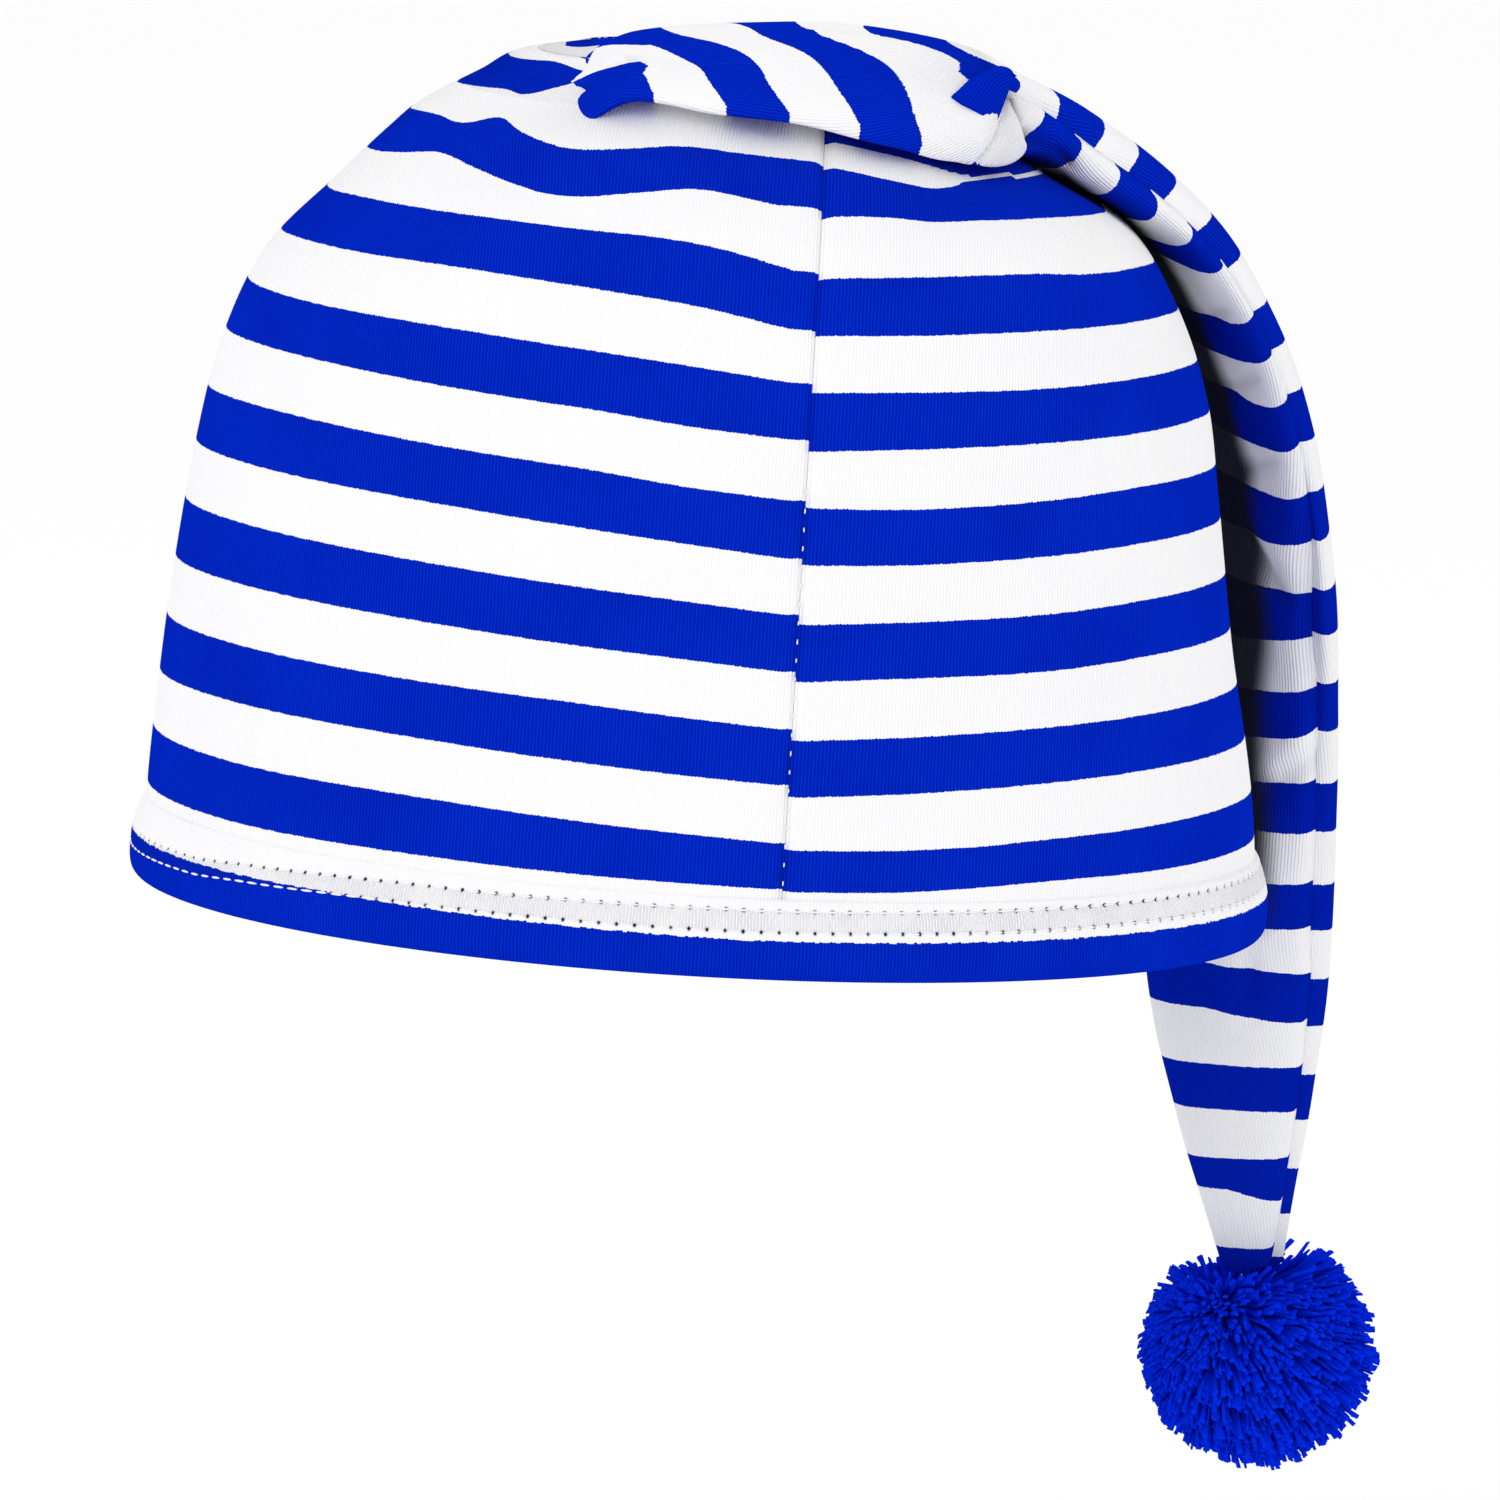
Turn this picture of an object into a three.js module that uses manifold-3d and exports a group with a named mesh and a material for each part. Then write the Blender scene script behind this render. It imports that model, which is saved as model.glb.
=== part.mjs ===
// A striped jersey nightcap as it is worn: a crown over the head, its long peak folded over to one side,
// and a tail that hangs beside the crown and ends in a yarn pompom.
// Millimetres, +Z up, front towards -Y. The origin is the middle of the opening at the hem's lower edge.
import * as THREE from "three";
import { mergeVertices } from "three/addons/utils/BufferGeometryUtils.js";
import Module from "manifold-3d";

const wasm = await Module();
wasm.setup();

// Named sizes in millimetres and degrees
const openingWidth = 195.6;
const openingDepth = 153;
const crownHeight = 151;
const crownLean = 3.4;
const clothWall = 1.5;
const pieceGap = 0.3;
const hemHeight = 13;
const hemStandOff = 2.5;
const seamOffset = 14;
const seamTurnDepth = 25;
const tailWidth = 42;
const tailThickness = 24;
const seamDip = 1.6;
const seamDipAngle = 18;
const pomRadius = 21.6;
const pomCore = 0.84;
const lockCount = 66;
const lockWidth = 4.6;
const pomSeat = 0.73;

// Facets round the crown, up the crown, round the tail and along it
const crownSides = 40;
const crownSteps = 20;
const tailSides = 20;
const tailSteps = 33;

// The crown from hem to top. up is a share of crownHeight, half and shift of half the opening's width,
// deep of half its depth. shift moves a section towards +X.
const crownRows = [
  { up: 0.0, half: 1.0, shift: 0.0, deep: 1.0 },
  { up: 0.1, half: 0.998, shift: -0.004, deep: 0.998 },
  { up: 0.23, half: 0.981, shift: -0.01, deep: 0.99 },
  { up: 0.36, half: 0.957, shift: -0.018, deep: 0.98 },
  { up: 0.51, half: 0.924, shift: -0.022, deep: 0.962 },
  { up: 0.63, half: 0.888, shift: -0.02, deep: 0.93 },
  { up: 0.735, half: 0.822, shift: -0.018, deep: 0.87 },
  { up: 0.82, half: 0.716, shift: -0.006, deep: 0.76 },
  { up: 0.88, half: 0.588, shift: -0.046, deep: 0.63 },
  { up: 0.914, half: 0.495, shift: -0.082, deep: 0.53 },
  { up: 0.953, half: 0.348, shift: -0.13, deep: 0.38 },
  { up: 0.98, half: 0.22, shift: -0.19, deep: 0.23 },
  { up: 0.996, half: 0.08, shift: -0.2, deep: 0.1 },
];

// The folded-over peak and the tail, from inside the crown's top to the tip. right, back and up place the
// middle as shares of half the opening's width, half its depth and the crown's height. wide is a share of
// half the tail's width, outer and inner are shares of half its thickness on the side away from the crown
// and beside it, wrap bends both edges towards the crown by a share of that thickness, and turn is the
// compass of the front edge in degrees, 0 at +X and -90 at the front.
const tailRows = [
  { right: -0.62, back: 0.0, up: 0.8, wide: 0.85, outer: 0.45, inner: 0.35, wrap: 0.3, turn: -90 },
  { right: -0.36, back: -0.04, up: 0.93, wide: 1.15, outer: 0.42, inner: 0.3, wrap: 0.3, turn: -90 },
  { right: -0.12, back: -0.07, up: 0.977, wide: 1.3, outer: 0.5, inner: 0.28, wrap: 0.48, turn: -90 },
  { right: 0.13, back: -0.1, up: 0.974, wide: 1.34, outer: 0.72, inner: 0.26, wrap: 0.6, turn: -90 },
  { right: 0.32, back: -0.08, up: 0.947, wide: 1.24, outer: 0.96, inner: 0.25, wrap: 0.6, turn: -90 },
  { right: 0.47, back: -0.03, up: 0.915, wide: 1.02, outer: 1.04, inner: 0.27, wrap: 0.56, turn: -88 },
  { right: 0.565, back: 0.04, up: 0.912, wide: 0.62, outer: 0.64, inner: 0.5, wrap: 0.15, turn: -84 },
  { right: 0.662, back: 0.12, up: 0.88, wide: 0.76, outer: 0.56, inner: 0.56, wrap: 0.15, turn: -78 },
  { right: 0.768, back: 0.21, up: 0.83, wide: 0.84, outer: 0.52, inner: 0.5, wrap: 0.15, turn: -72 },
  { right: 0.873, back: 0.29, up: 0.758, wide: 0.9, outer: 0.5, inner: 0.42, wrap: 0.12, turn: -69 },
  { right: 0.953, back: 0.38, up: 0.662, wide: 0.92, outer: 0.52, inner: 0.42, wrap: 0.1, turn: -67 },
  { right: 1.008, back: 0.47, up: 0.545, wide: 0.94, outer: 0.56, inner: 0.44, wrap: 0.1, turn: -64 },
  { right: 1.032, back: 0.54, up: 0.42, wide: 0.96, outer: 0.62, inner: 0.48, wrap: 0.08, turn: -60 },
  { right: 1.034, back: 0.6, up: 0.29, wide: 0.99, outer: 0.7, inner: 0.54, wrap: 0.06, turn: -56 },
  { right: 1.022, back: 0.65, up: 0.15, wide: 1.0, outer: 0.85, inner: 0.66, wrap: 0.04, turn: -52 },
  { right: 1.004, back: 0.68, up: 0.0, wide: 1.0, outer: 0.96, inner: 0.8, wrap: 0.02, turn: -47 },
  { right: 0.994, back: 0.68, up: -0.11, wide: 0.97, outer: 1.0, inner: 0.95, wrap: 0.0, turn: -44 },
  { right: 0.999, back: 0.675, up: -0.22, wide: 0.84, outer: 0.92, inner: 0.9, wrap: 0.0, turn: -42 },
  { right: 1.009, back: 0.665, up: -0.335, wide: 0.64, outer: 0.72, inner: 0.72, wrap: 0.0, turn: -40 },
  { right: 1.02, back: 0.655, up: -0.44, wide: 0.43, outer: 0.54, inner: 0.54, wrap: 0.0, turn: -38 },
  { right: 1.027, back: 0.65, up: -0.505, wide: 0.3, outer: 0.44, inner: 0.44, wrap: 0.0, turn: -38 },
];

const radians = THREE.MathUtils.degToRad;
const lean = new THREE.Matrix4().makeRotationY(radians(crownLean));

// Smooth values between the rows of a table, share 0 to 1 from the first row to the last.
function between(rows, share) {
  const place = Math.min(Math.max(share, 0), 1) * (rows.length - 1);
  const at = Math.min(Math.floor(place), rows.length - 2);
  const step = place - at;
  const row = {};
  for (const name of Object.keys(rows[0])) {
    const before = rows[Math.max(at - 1, 0)][name];
    const start = rows[at][name];
    const end = rows[at + 1][name];
    const after = rows[Math.min(at + 2, rows.length - 1)][name];
    const slopeIn = (end - before) / 2;
    const slopeOut = (after - start) / 2;
    const bend = 2 * (start - end) + slopeIn + slopeOut;
    const rise = 3 * (end - start) - 2 * slopeIn - slopeOut;
    row[name] = ((bend * step + rise) * step + slopeIn) * step + start;
  }
  return row;
}

// A closed solid from rings of points, each ring turning the same way, with a middle point in either end.
function lofted(rings) {
  const sides = rings[0].length;
  const points = rings.flat();
  const faces = [];
  for (let ring = 0; ring + 1 < rings.length; ring += 1) {
    for (let side = 0; side < sides; side += 1) {
      const next = (side + 1) % sides;
      const low = ring * sides;
      const high = low + sides;
      faces.push(low + side, low + next, high + next);
      faces.push(low + side, high + next, high + side);
    }
  }
  for (const end of [0, rings.length - 1]) {
    const middle = new THREE.Vector3();
    rings[end].forEach((point) => middle.add(point));
    points.push(middle.divideScalar(sides));
    for (let side = 0; side < sides; side += 1) {
      const here = end * sides + side;
      const next = end * sides + ((side + 1) % sides);
      faces.push(...(end === 0 ? [points.length - 1, next, here] : [points.length - 1, here, next]));
    }
  }
  return solidFrom(points, faces);
}

function solidFrom(points, faces) {
  const vertProperties = new Float32Array(points.flatMap((point) => point.toArray()));
  const triVerts = new Uint32Array(faces);
  const made = new wasm.Manifold(new wasm.Mesh({ numProp: 3, vertProperties, triVerts }));
  if (made.volume() > 0) {
    return made;
  }
  for (let corner = 0; corner < triVerts.length; corner += 3) {
    triVerts.subarray(corner, corner + 3).reverse();
  }
  return new wasm.Manifold(new wasm.Mesh({ numProp: 3, vertProperties, triVerts }));
}

function solidOfGeometry(geometry) {
  const bare = geometry.clone();
  bare.deleteAttribute("normal");
  bare.deleteAttribute("uv");
  const merged = mergeVertices(bare, 1e-3);
  const places = merged.getAttribute("position");
  const points = [];
  for (let corner = 0; corner < places.count; corner += 1) {
    points.push(new THREE.Vector3().fromBufferAttribute(places, corner));
  }
  return solidFrom(points, Array.from(merged.index.array));
}

// The crown as a solid, grown by the given amount, from the given height up.
function crownSolid(grow, bottom) {
  const sideScale = 1 + grow / (openingWidth / 2);
  const depthScale = 1 + grow / (openingDepth / 2);
  const heightScale = 1 + grow / crownHeight;
  const rings = [];
  for (let step = 0; step <= crownSteps; step += 1) {
    const share = step / crownSteps;
    const row = between(crownRows, share);
    const height = Math.max(row.up * crownHeight * heightScale, bottom);
    const rise = step === 0 ? bottom : height + (step * pieceGap) / crownSteps;
    const ring = [];
    for (let side = 0; side < crownSides; side += 1) {
      const angle = (side / crownSides) * 2 * Math.PI;
      const across = (row.half * Math.cos(angle) * sideScale + row.shift) * (openingWidth / 2);
      const along = row.deep * Math.sin(angle) * depthScale * (openingDepth / 2);
      ring.push(new THREE.Vector3(across, along, rise).applyMatrix4(lean));
    }
    rings.push(ring);
  }
  return lofted(rings);
}

// The middle of the folded-over peak and tail at a share of the way along.
function tailMiddle(share) {
  const row = between(tailRows, share);
  return new THREE.Vector3(
    (row.right * openingWidth) / 2,
    (row.back * openingDepth) / 2,
    row.up * crownHeight,
  );
}

// The local directions of the tail: along it, towards its front edge and away from the crown.
function tailFrame(share) {
  const reach = 1.5 / tailSteps;
  const along = tailMiddle(Math.min(share + reach, 1)).sub(tailMiddle(Math.max(share - reach, 0)));
  along.normalize();
  const turn = radians(between(tailRows, share).turn);
  const front = new THREE.Vector3(Math.cos(turn), Math.sin(turn), 0);
  front.addScaledVector(along, -front.dot(along)).normalize();
  const out = new THREE.Vector3().crossVectors(front, along).normalize();
  return { along, front, out };
}

// A point of the tail's cloth. angle 0 is the front seam, pi the back seam, between them the outer half.
function tailPoint(share, angle, grow) {
  const row = between(tailRows, share);
  const { front, out } = tailFrame(share);
  const width = (row.wide * tailWidth) / 2 + grow;
  const thick = ((Math.sin(angle) > 0 ? row.outer : row.inner) * tailThickness) / 2 + grow;
  const fromSeam = Math.asin(Math.abs(Math.sin(angle)));
  const dip = seamDip * Math.exp(-((fromSeam / radians(seamDipAngle)) ** 2));
  const sideways = (width - dip) * Math.cos(angle);
  const outward = thick * Math.sin(angle) - ((row.wrap * tailThickness) / 2) * Math.cos(angle) ** 2;
  return tailMiddle(share).addScaledVector(front, sideways).addScaledVector(out, outward);
}

function tailSolid(grow) {
  const rings = [];
  for (let step = 0; step <= tailSteps; step += 1) {
    const share = step / tailSteps;
    const past = step === tailSteps ? grow : 0;
    const { along } = tailFrame(share);
    const ring = [];
    for (let side = 0; side < tailSides; side += 1) {
      const angle = (side / tailSides) * 2 * Math.PI;
      ring.push(tailPoint(share, angle, grow).addScaledVector(along, past));
    }
    rings.push(ring);
  }
  return lofted(rings);
}

// The space on the outer side of the tail's two seams, which the left panel covers.
function outerHalf(gap) {
  const reach = 6;
  const sideReach = 0.6;
  const edges = [1, 0.5, 0, -0.5, -1];
  const rings = [];
  for (let step = 0; step <= tailSteps; step += 1) {
    const share = step / tailSteps;
    const row = between(tailRows, share);
    const { along, front, out } = tailFrame(share);
    const width = (row.wide * tailWidth) / 2 + sideReach + gap;
    const wrap = (row.wrap * tailThickness) / 2;
    const top = (row.outer * tailThickness) / 2 + reach + gap;
    const middle = tailMiddle(share).addScaledVector(along, step === tailSteps ? reach : 0);
    const ring = edges.map((edge) => middle
      .clone()
      .addScaledVector(front, edge * width)
      .addScaledVector(out, -wrap * edge * edge - gap));
    for (const edge of [...edges].reverse()) {
      ring.push(middle
        .clone()
        .addScaledVector(front, edge * width)
        .addScaledVector(out, top - wrap * edge * edge));
    }
    rings.push(ring);
  }
  return lofted(rings);
}

// The space on the left of the crown's seams. The front seam lies right of the middle, the back seam left.
function leftSide(gap) {
  const far = openingWidth;
  const plan = [
    [-far, -far],
    [seamOffset + gap, -far],
    [seamOffset + gap, -seamTurnDepth],
    [-seamOffset + gap, seamTurnDepth],
    [-seamOffset + gap, far],
    [-far, far],
  ];
  const ringAt = (height) => plan.map(
    ([across, along]) => new THREE.Vector3(across, along, height).applyMatrix4(lean),
  );
  return lofted([ringAt(-far), ringAt(far)]);
}

// The small pointed fold that the knot-like pinch pulls up in front.
function pinchFold() {
  const root = new THREE.Vector3(55, -3, 143.5);
  const tip = new THREE.Vector3(44, -19, 141.6);
  const sides = 8;
  const steps = 5;
  const way = tip.clone().sub(root).normalize();
  const level = new THREE.Vector3(0, 0, 1).addScaledVector(way, -way.z).normalize();
  const across = new THREE.Vector3().crossVectors(way, level);
  const rings = [];
  for (let step = 0; step <= steps; step += 1) {
    const share = step / steps;
    const size = 4 * (1 - share) + 0.6;
    const middle = root.clone().lerp(tip, share);
    middle.z -= 2.2 * share * share;
    const ring = [];
    for (let side = 0; side < sides; side += 1) {
      const angle = (side / sides) * 2 * Math.PI;
      ring.push(middle
        .clone()
        .addScaledVector(level, 0.9 * size * Math.cos(angle))
        .addScaledVector(across, 0.5 * size * Math.sin(angle)));
    }
    rings.push(ring);
  }
  return lofted(rings);
}

// The hem: a rounded double layer that stands off the crown. out is measured from the crown's outside.
function hemSolid() {
  const section = [
    { out: -clothWall, up: 1.2 },
    { out: -0.2, up: 0 },
    { out: hemStandOff * 0.7, up: 0.4 },
    { out: hemStandOff, up: 2.4 },
    { out: hemStandOff * 0.96, up: hemHeight * 0.55 },
    { out: hemStandOff * 0.72, up: hemHeight * 0.85 },
    { out: hemStandOff * 0.3, up: hemHeight },
    { out: -clothWall, up: hemHeight },
  ];
  const points = [];
  const faces = [];
  for (let side = 0; side < crownSides; side += 1) {
    const angle = (side / crownSides) * 2 * Math.PI;
    for (const spot of section) {
      const across = (openingWidth / 2 + spot.out) * Math.cos(angle);
      const along = (openingDepth / 2 + spot.out) * Math.sin(angle);
      points.push(new THREE.Vector3(across, along, spot.up).applyMatrix4(lean));
    }
    const here = side * section.length;
    const there = ((side + 1) % crownSides) * section.length;
    for (let spot = 0; spot < section.length; spot += 1) {
      const next = (spot + 1) % section.length;
      faces.push(here + spot, there + spot, there + next);
      faces.push(here + spot, there + next, here + next);
    }
  }
  return solidFrom(points, faces);
}

// The pompom: a head with tapering locks of yarn that spread evenly over it.
function pomSolid() {
  const centre = tailMiddle(1).addScaledVector(tailFrame(1).along, pomRadius * pomSeat);
  const core = pomRadius * pomCore;
  let head = solidOfGeometry(new THREE.IcosahedronGeometry(core, 2).translate(...centre.toArray()));
  const upright = new THREE.Vector3(0, 1, 0);
  const goldenTurn = Math.PI * (3 - Math.sqrt(5));
  for (let lock = 0; lock < lockCount; lock += 1) {
    const height = 1 - (2 * lock + 1) / lockCount;
    const round = Math.sqrt(1 - height * height);
    const turn = goldenTurn * lock;
    const way = new THREE.Vector3(round * Math.cos(turn), round * Math.sin(turn), height);
    const length = pomRadius * (0.99 + 0.03 * Math.sin(5.3 * lock));
    const base = core * 0.72;
    const cone = new THREE.CylinderGeometry(lockWidth * 0.52, lockWidth, length - base, 5, 1);
    cone.translate(0, (length + base) / 2, 0);
    cone.applyQuaternion(new THREE.Quaternion().setFromUnitVectors(upright, way));
    cone.translate(...centre.toArray());
    head = head.add(solidOfGeometry(cone));
  }
  return head;
}

// The panel itself, without the scraps of the inner fold that the seams leave loose.
function widest(solid) {
  const bodies = solid.decompose();
  return bodies.reduce((best, body) => (body.volume() > best.volume() ? body : best));
}

const tailOuter = tailSolid(0).add(pinchFold());
const crownOuter = crownSolid(0, hemHeight + pieceGap);
const hollow = crownSolid(-clothWall, -hemHeight).add(tailSolid(-clothWall));
const shell = crownOuter.add(tailOuter).subtract(hollow);
const leftPanel = widest(shell.intersect(leftSide(0).add(outerHalf(0))));
const rightPanel = widest(shell.subtract(leftSide(pieceGap).add(outerHalf(pieceGap))));
const pompom = pomSolid().subtract(tailSolid(pieceGap));

// A named mesh with its own material from a solid.
function meshOf(name, solid, color, roughness) {
  const { vertProperties, triVerts, numProp } = solid.getMesh();
  const places = new Float32Array((vertProperties.length / numProp) * 3);
  for (let point = 0; point * 3 < places.length; point += 1) {
    places.set(vertProperties.subarray(point * numProp, point * numProp + 3), point * 3);
  }
  const geometry = new THREE.BufferGeometry();
  geometry.setAttribute("position", new THREE.BufferAttribute(places, 3));
  geometry.setIndex(Array.from(triVerts));
  geometry.computeVertexNormals();
  const material = new THREE.MeshStandardMaterial({ color, roughness, metalness: 0 });
  const mesh = new THREE.Mesh(geometry, material);
  mesh.name = name;
  return mesh;
}

const nightcap = new THREE.Group();
nightcap.name = "nightcap";
nightcap.add(meshOf("left_panel", leftPanel, 0x0b34c4, 0.9));
nightcap.add(meshOf("right_panel", rightPanel, 0x0a31bd, 0.9));
nightcap.add(meshOf("hem_band", hemSolid(), 0xf2f2f4, 0.9));
nightcap.add(meshOf("pompom", pompom, 0x0818c8, 0.95));

export default nightcap;
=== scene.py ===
import math

import bmesh
import bpy
import numpy as np
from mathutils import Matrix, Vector


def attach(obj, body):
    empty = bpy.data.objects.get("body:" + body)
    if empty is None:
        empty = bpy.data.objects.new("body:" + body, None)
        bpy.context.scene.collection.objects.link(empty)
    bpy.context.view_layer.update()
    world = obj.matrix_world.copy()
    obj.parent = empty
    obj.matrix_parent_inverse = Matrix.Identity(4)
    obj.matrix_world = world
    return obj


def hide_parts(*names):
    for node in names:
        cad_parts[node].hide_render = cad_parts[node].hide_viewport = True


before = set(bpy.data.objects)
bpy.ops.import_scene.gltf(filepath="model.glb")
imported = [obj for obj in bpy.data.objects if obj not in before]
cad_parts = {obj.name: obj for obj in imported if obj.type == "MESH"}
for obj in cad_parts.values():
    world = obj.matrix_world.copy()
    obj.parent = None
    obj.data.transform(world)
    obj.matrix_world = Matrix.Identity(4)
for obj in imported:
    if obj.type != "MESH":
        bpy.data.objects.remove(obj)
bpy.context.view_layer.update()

# Sizes in millimetres and degrees, as in the CAD.
openingWidth = 195.6
openingDepth = 153.0
crownHeight = 151.0
crownLean = 3.4
clothWall = 1.4
panelBottom = 13.3
seamOffset = 14.0
seamTurnDepth = 25.0
tailWidth = 42.0
tailThickness = 24.0
tailSections = 33
tailInset = 0.2
walePitch = 0.62
pomRadius = 21.6
pomSeat = 0.73

# The crown from hem to top: up, half width, shift to +X and depth, as shares of the opening's sizes.
crownRows = np.array([
    (0.0, 1.0, 0.0, 1.0),
    (0.1, 0.998, -0.004, 0.998),
    (0.23, 0.981, -0.01, 0.99),
    (0.36, 0.957, -0.018, 0.98),
    (0.51, 0.924, -0.022, 0.962),
    (0.63, 0.888, -0.02, 0.93),
    (0.735, 0.822, -0.018, 0.87),
    (0.82, 0.716, -0.006, 0.76),
    (0.88, 0.588, -0.046, 0.63),
    (0.914, 0.495, -0.082, 0.53),
    (0.953, 0.348, -0.13, 0.38),
    (0.98, 0.22, -0.19, 0.23),
    (0.996, 0.08, -0.2, 0.1),
])

# The folded peak and the tail: right, back, up, wide, outer, inner, wrap and turn, as in the CAD.
tailRows = np.array([
    (-0.62, 0.0, 0.8, 0.85, 0.45, 0.35, 0.3, -90),
    (-0.36, -0.04, 0.93, 1.15, 0.42, 0.3, 0.3, -90),
    (-0.12, -0.07, 0.977, 1.3, 0.5, 0.28, 0.48, -90),
    (0.13, -0.1, 0.974, 1.34, 0.72, 0.26, 0.6, -90),
    (0.32, -0.08, 0.947, 1.24, 0.96, 0.25, 0.6, -90),
    (0.47, -0.03, 0.915, 1.02, 1.04, 0.27, 0.56, -88),
    (0.565, 0.04, 0.912, 0.62, 0.64, 0.5, 0.15, -84),
    (0.662, 0.12, 0.88, 0.76, 0.56, 0.56, 0.15, -78),
    (0.768, 0.21, 0.83, 0.84, 0.52, 0.5, 0.15, -72),
    (0.873, 0.29, 0.758, 0.9, 0.5, 0.42, 0.12, -69),
    (0.953, 0.38, 0.662, 0.92, 0.52, 0.42, 0.1, -67),
    (1.008, 0.47, 0.545, 0.94, 0.56, 0.44, 0.1, -64),
    (1.032, 0.54, 0.42, 0.96, 0.62, 0.48, 0.08, -60),
    (1.034, 0.6, 0.29, 0.99, 0.7, 0.54, 0.06, -56),
    (1.022, 0.65, 0.15, 1.0, 0.85, 0.66, 0.04, -52),
    (1.004, 0.68, 0.0, 1.0, 0.96, 0.8, 0.02, -47),
    (0.994, 0.68, -0.11, 0.97, 1.0, 0.95, 0.0, -44),
    (0.999, 0.675, -0.22, 0.84, 0.92, 0.9, 0.0, -42),
    (1.009, 0.665, -0.335, 0.64, 0.72, 0.72, 0.0, -40),
    (1.02, 0.655, -0.44, 0.43, 0.54, 0.54, 0.0, -38),
    (1.027, 0.65, -0.505, 0.3, 0.44, 0.44, 0.0, -38),
])

# Where one stripe ends and the next starts on the crown, as the length of cloth up from the hem. Each column
# is a compass angle, from -180 at the left to 0 at the right; the first edge is the lowest blue stripe's.
leftStripeAngles = [-180, -150, -118, -104, -93, -82]
leftStripeEdges = np.array([
    (16.3, 16.2, 16.3, 16.1, 15.9, 15.6),
    (26.5, 26.4, 26.2, 25.3, 24.4, 23.5),
    (36.2, 36.7, 36.2, 35.3, 34.4, 33.5),
    (46.3, 46.6, 46.0, 45.4, 44.3, 43.1),
    (56.5, 57.0, 56.1, 55.1, 54.2, 52.9),
    (67.0, 67.4, 66.2, 65.1, 64.1, 62.7),
    (77.2, 77.6, 76.4, 75.1, 73.8, 72.2),
    (87.0, 87.8, 86.2, 85.1, 83.4, 82.1),
    (97.7, 98.0, 96.3, 95.2, 93.6, 92.4),
    (107.3, 107.4, 106.3, 105.1, 103.8, 102.1),
    (117.4, 118.3, 117.2, 115.8, 114.2, 111.2),
    (128.5, 129.4, 128.3, 127.4, 125.8, 122.0),
])
# The last stripes before the fold, where the cloth is creased.
foldStripeAngles = [-180, -157, -144, -136, -127, -118, -112, -104, -93, -82]
foldStripeEdges = np.array([
    (138.1, 139.7, 141.2, 139.4, 137.0, 135.0, 135.0, 136.5, 138.6, 136.1),
    (148.4, 149.5, 148.8, 151.4, 147.6, 145.2, 145.4, 147.2, 149.8, 149.7),
    (157.6, 158.8, 159.3, 158.6, 162.0, 165.8, 168.5, 171.0, 172.0, 173.0),
    (167.9, 168.3, 169.3, 170.3, 170.5, 170.0, 170.2, 172.2, 173.2, 174.2),
])
rightStripeAngles = [-81, -71, -50, -36, -18]
rightStripeEdges = np.array([
    (15.2, 15.5, 17.2, 17.4, 17.7),
    (22.3, 22.6, 24.4, 25.3, 26.0),
    (31.4, 32.3, 34.2, 35.1, 35.7),
    (41.1, 42.0, 43.8, 44.7, 45.6),
    (51.1, 52.1, 53.4, 54.7, 55.5),
    (60.9, 61.7, 63.2, 64.4, 65.2),
    (71.1, 71.5, 73.1, 74.2, 75.0),
    (80.9, 81.0, 82.6, 83.9, 84.6),
    (90.3, 91.1, 92.4, 93.1, 94.0),
    (100.4, 100.9, 101.7, 102.5, 103.3),
    (110.2, 110.6, 111.7, 112.3, 112.9),
    (120.6, 121.1, 122.1, 121.9, 122.3),
    (133.2, 134.2, 134.6, 134.9, 135.0),
    (148.6, 149.0, 144.8, 148.0, 148.2),
    (160.0, 160.0, 155.0, 148.0, 148.2),
    (171.0, 171.0, 170.0, 168.0, 168.0),
])

# Stripe edges on the folded peak, as shares of the tail's length. Each column is an angle round the tail,
# 0 at the front seam and 90 on the side away from the crown.
rollStripeAngles = [8, 28, 45, 55, 66, 80, 100]
rollStripeEdges = np.array([
    (0.084, 0.080, 0.071, 0.060, 0.055, 0.050, 0.0438),
    (0.1135, 0.110, 0.104, 0.069, 0.058, 0.052, 0.0450),
    (0.1375, 0.131, 0.1250, 0.1150, 0.104, 0.0945, 0.0813),
    (0.160, 0.1515, 0.145, 0.136, 0.123, 0.115, 0.1107),
    (0.187, 0.178, 0.169, 0.160, 0.1485, 0.141, 0.1313),
    (0.213, 0.206, 0.199, 0.193, 0.172, 0.161, 0.157),
    (0.262, 0.262, 0.255, 0.2295, 0.228, 0.191, 0.187),
    (0.262, 0.262, 0.262, 0.278, 0.280, 0.2345, 0.232),
])
# The same down the tail's outer half: at the front seam and on the far side.
outerStripeEdges = np.array([
    (0.309, 0.319), (0.331, 0.3615), (0.363, 0.386), (0.394, 0.417), (0.422, 0.444), (0.452, 0.464), (0.479, 0.492),
    (0.5015, 0.513), (0.5255, 0.536), (0.5505, 0.559), (0.5762, 0.578), (0.6004, 0.594), (0.6235, 0.619),
    (0.6442, 0.643), (0.6673, 0.666), (0.6892, 0.688), (0.7123, 0.711), (0.7323, 0.732), (0.758, 0.757),
    (0.7874, 0.786), (0.8186, 0.817), (0.8468, 0.846), (0.8737, 0.873), (0.8981, 0.897), (0.925, 0.925),
    (0.9537, 0.953), (0.992, 0.992),
])
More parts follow.
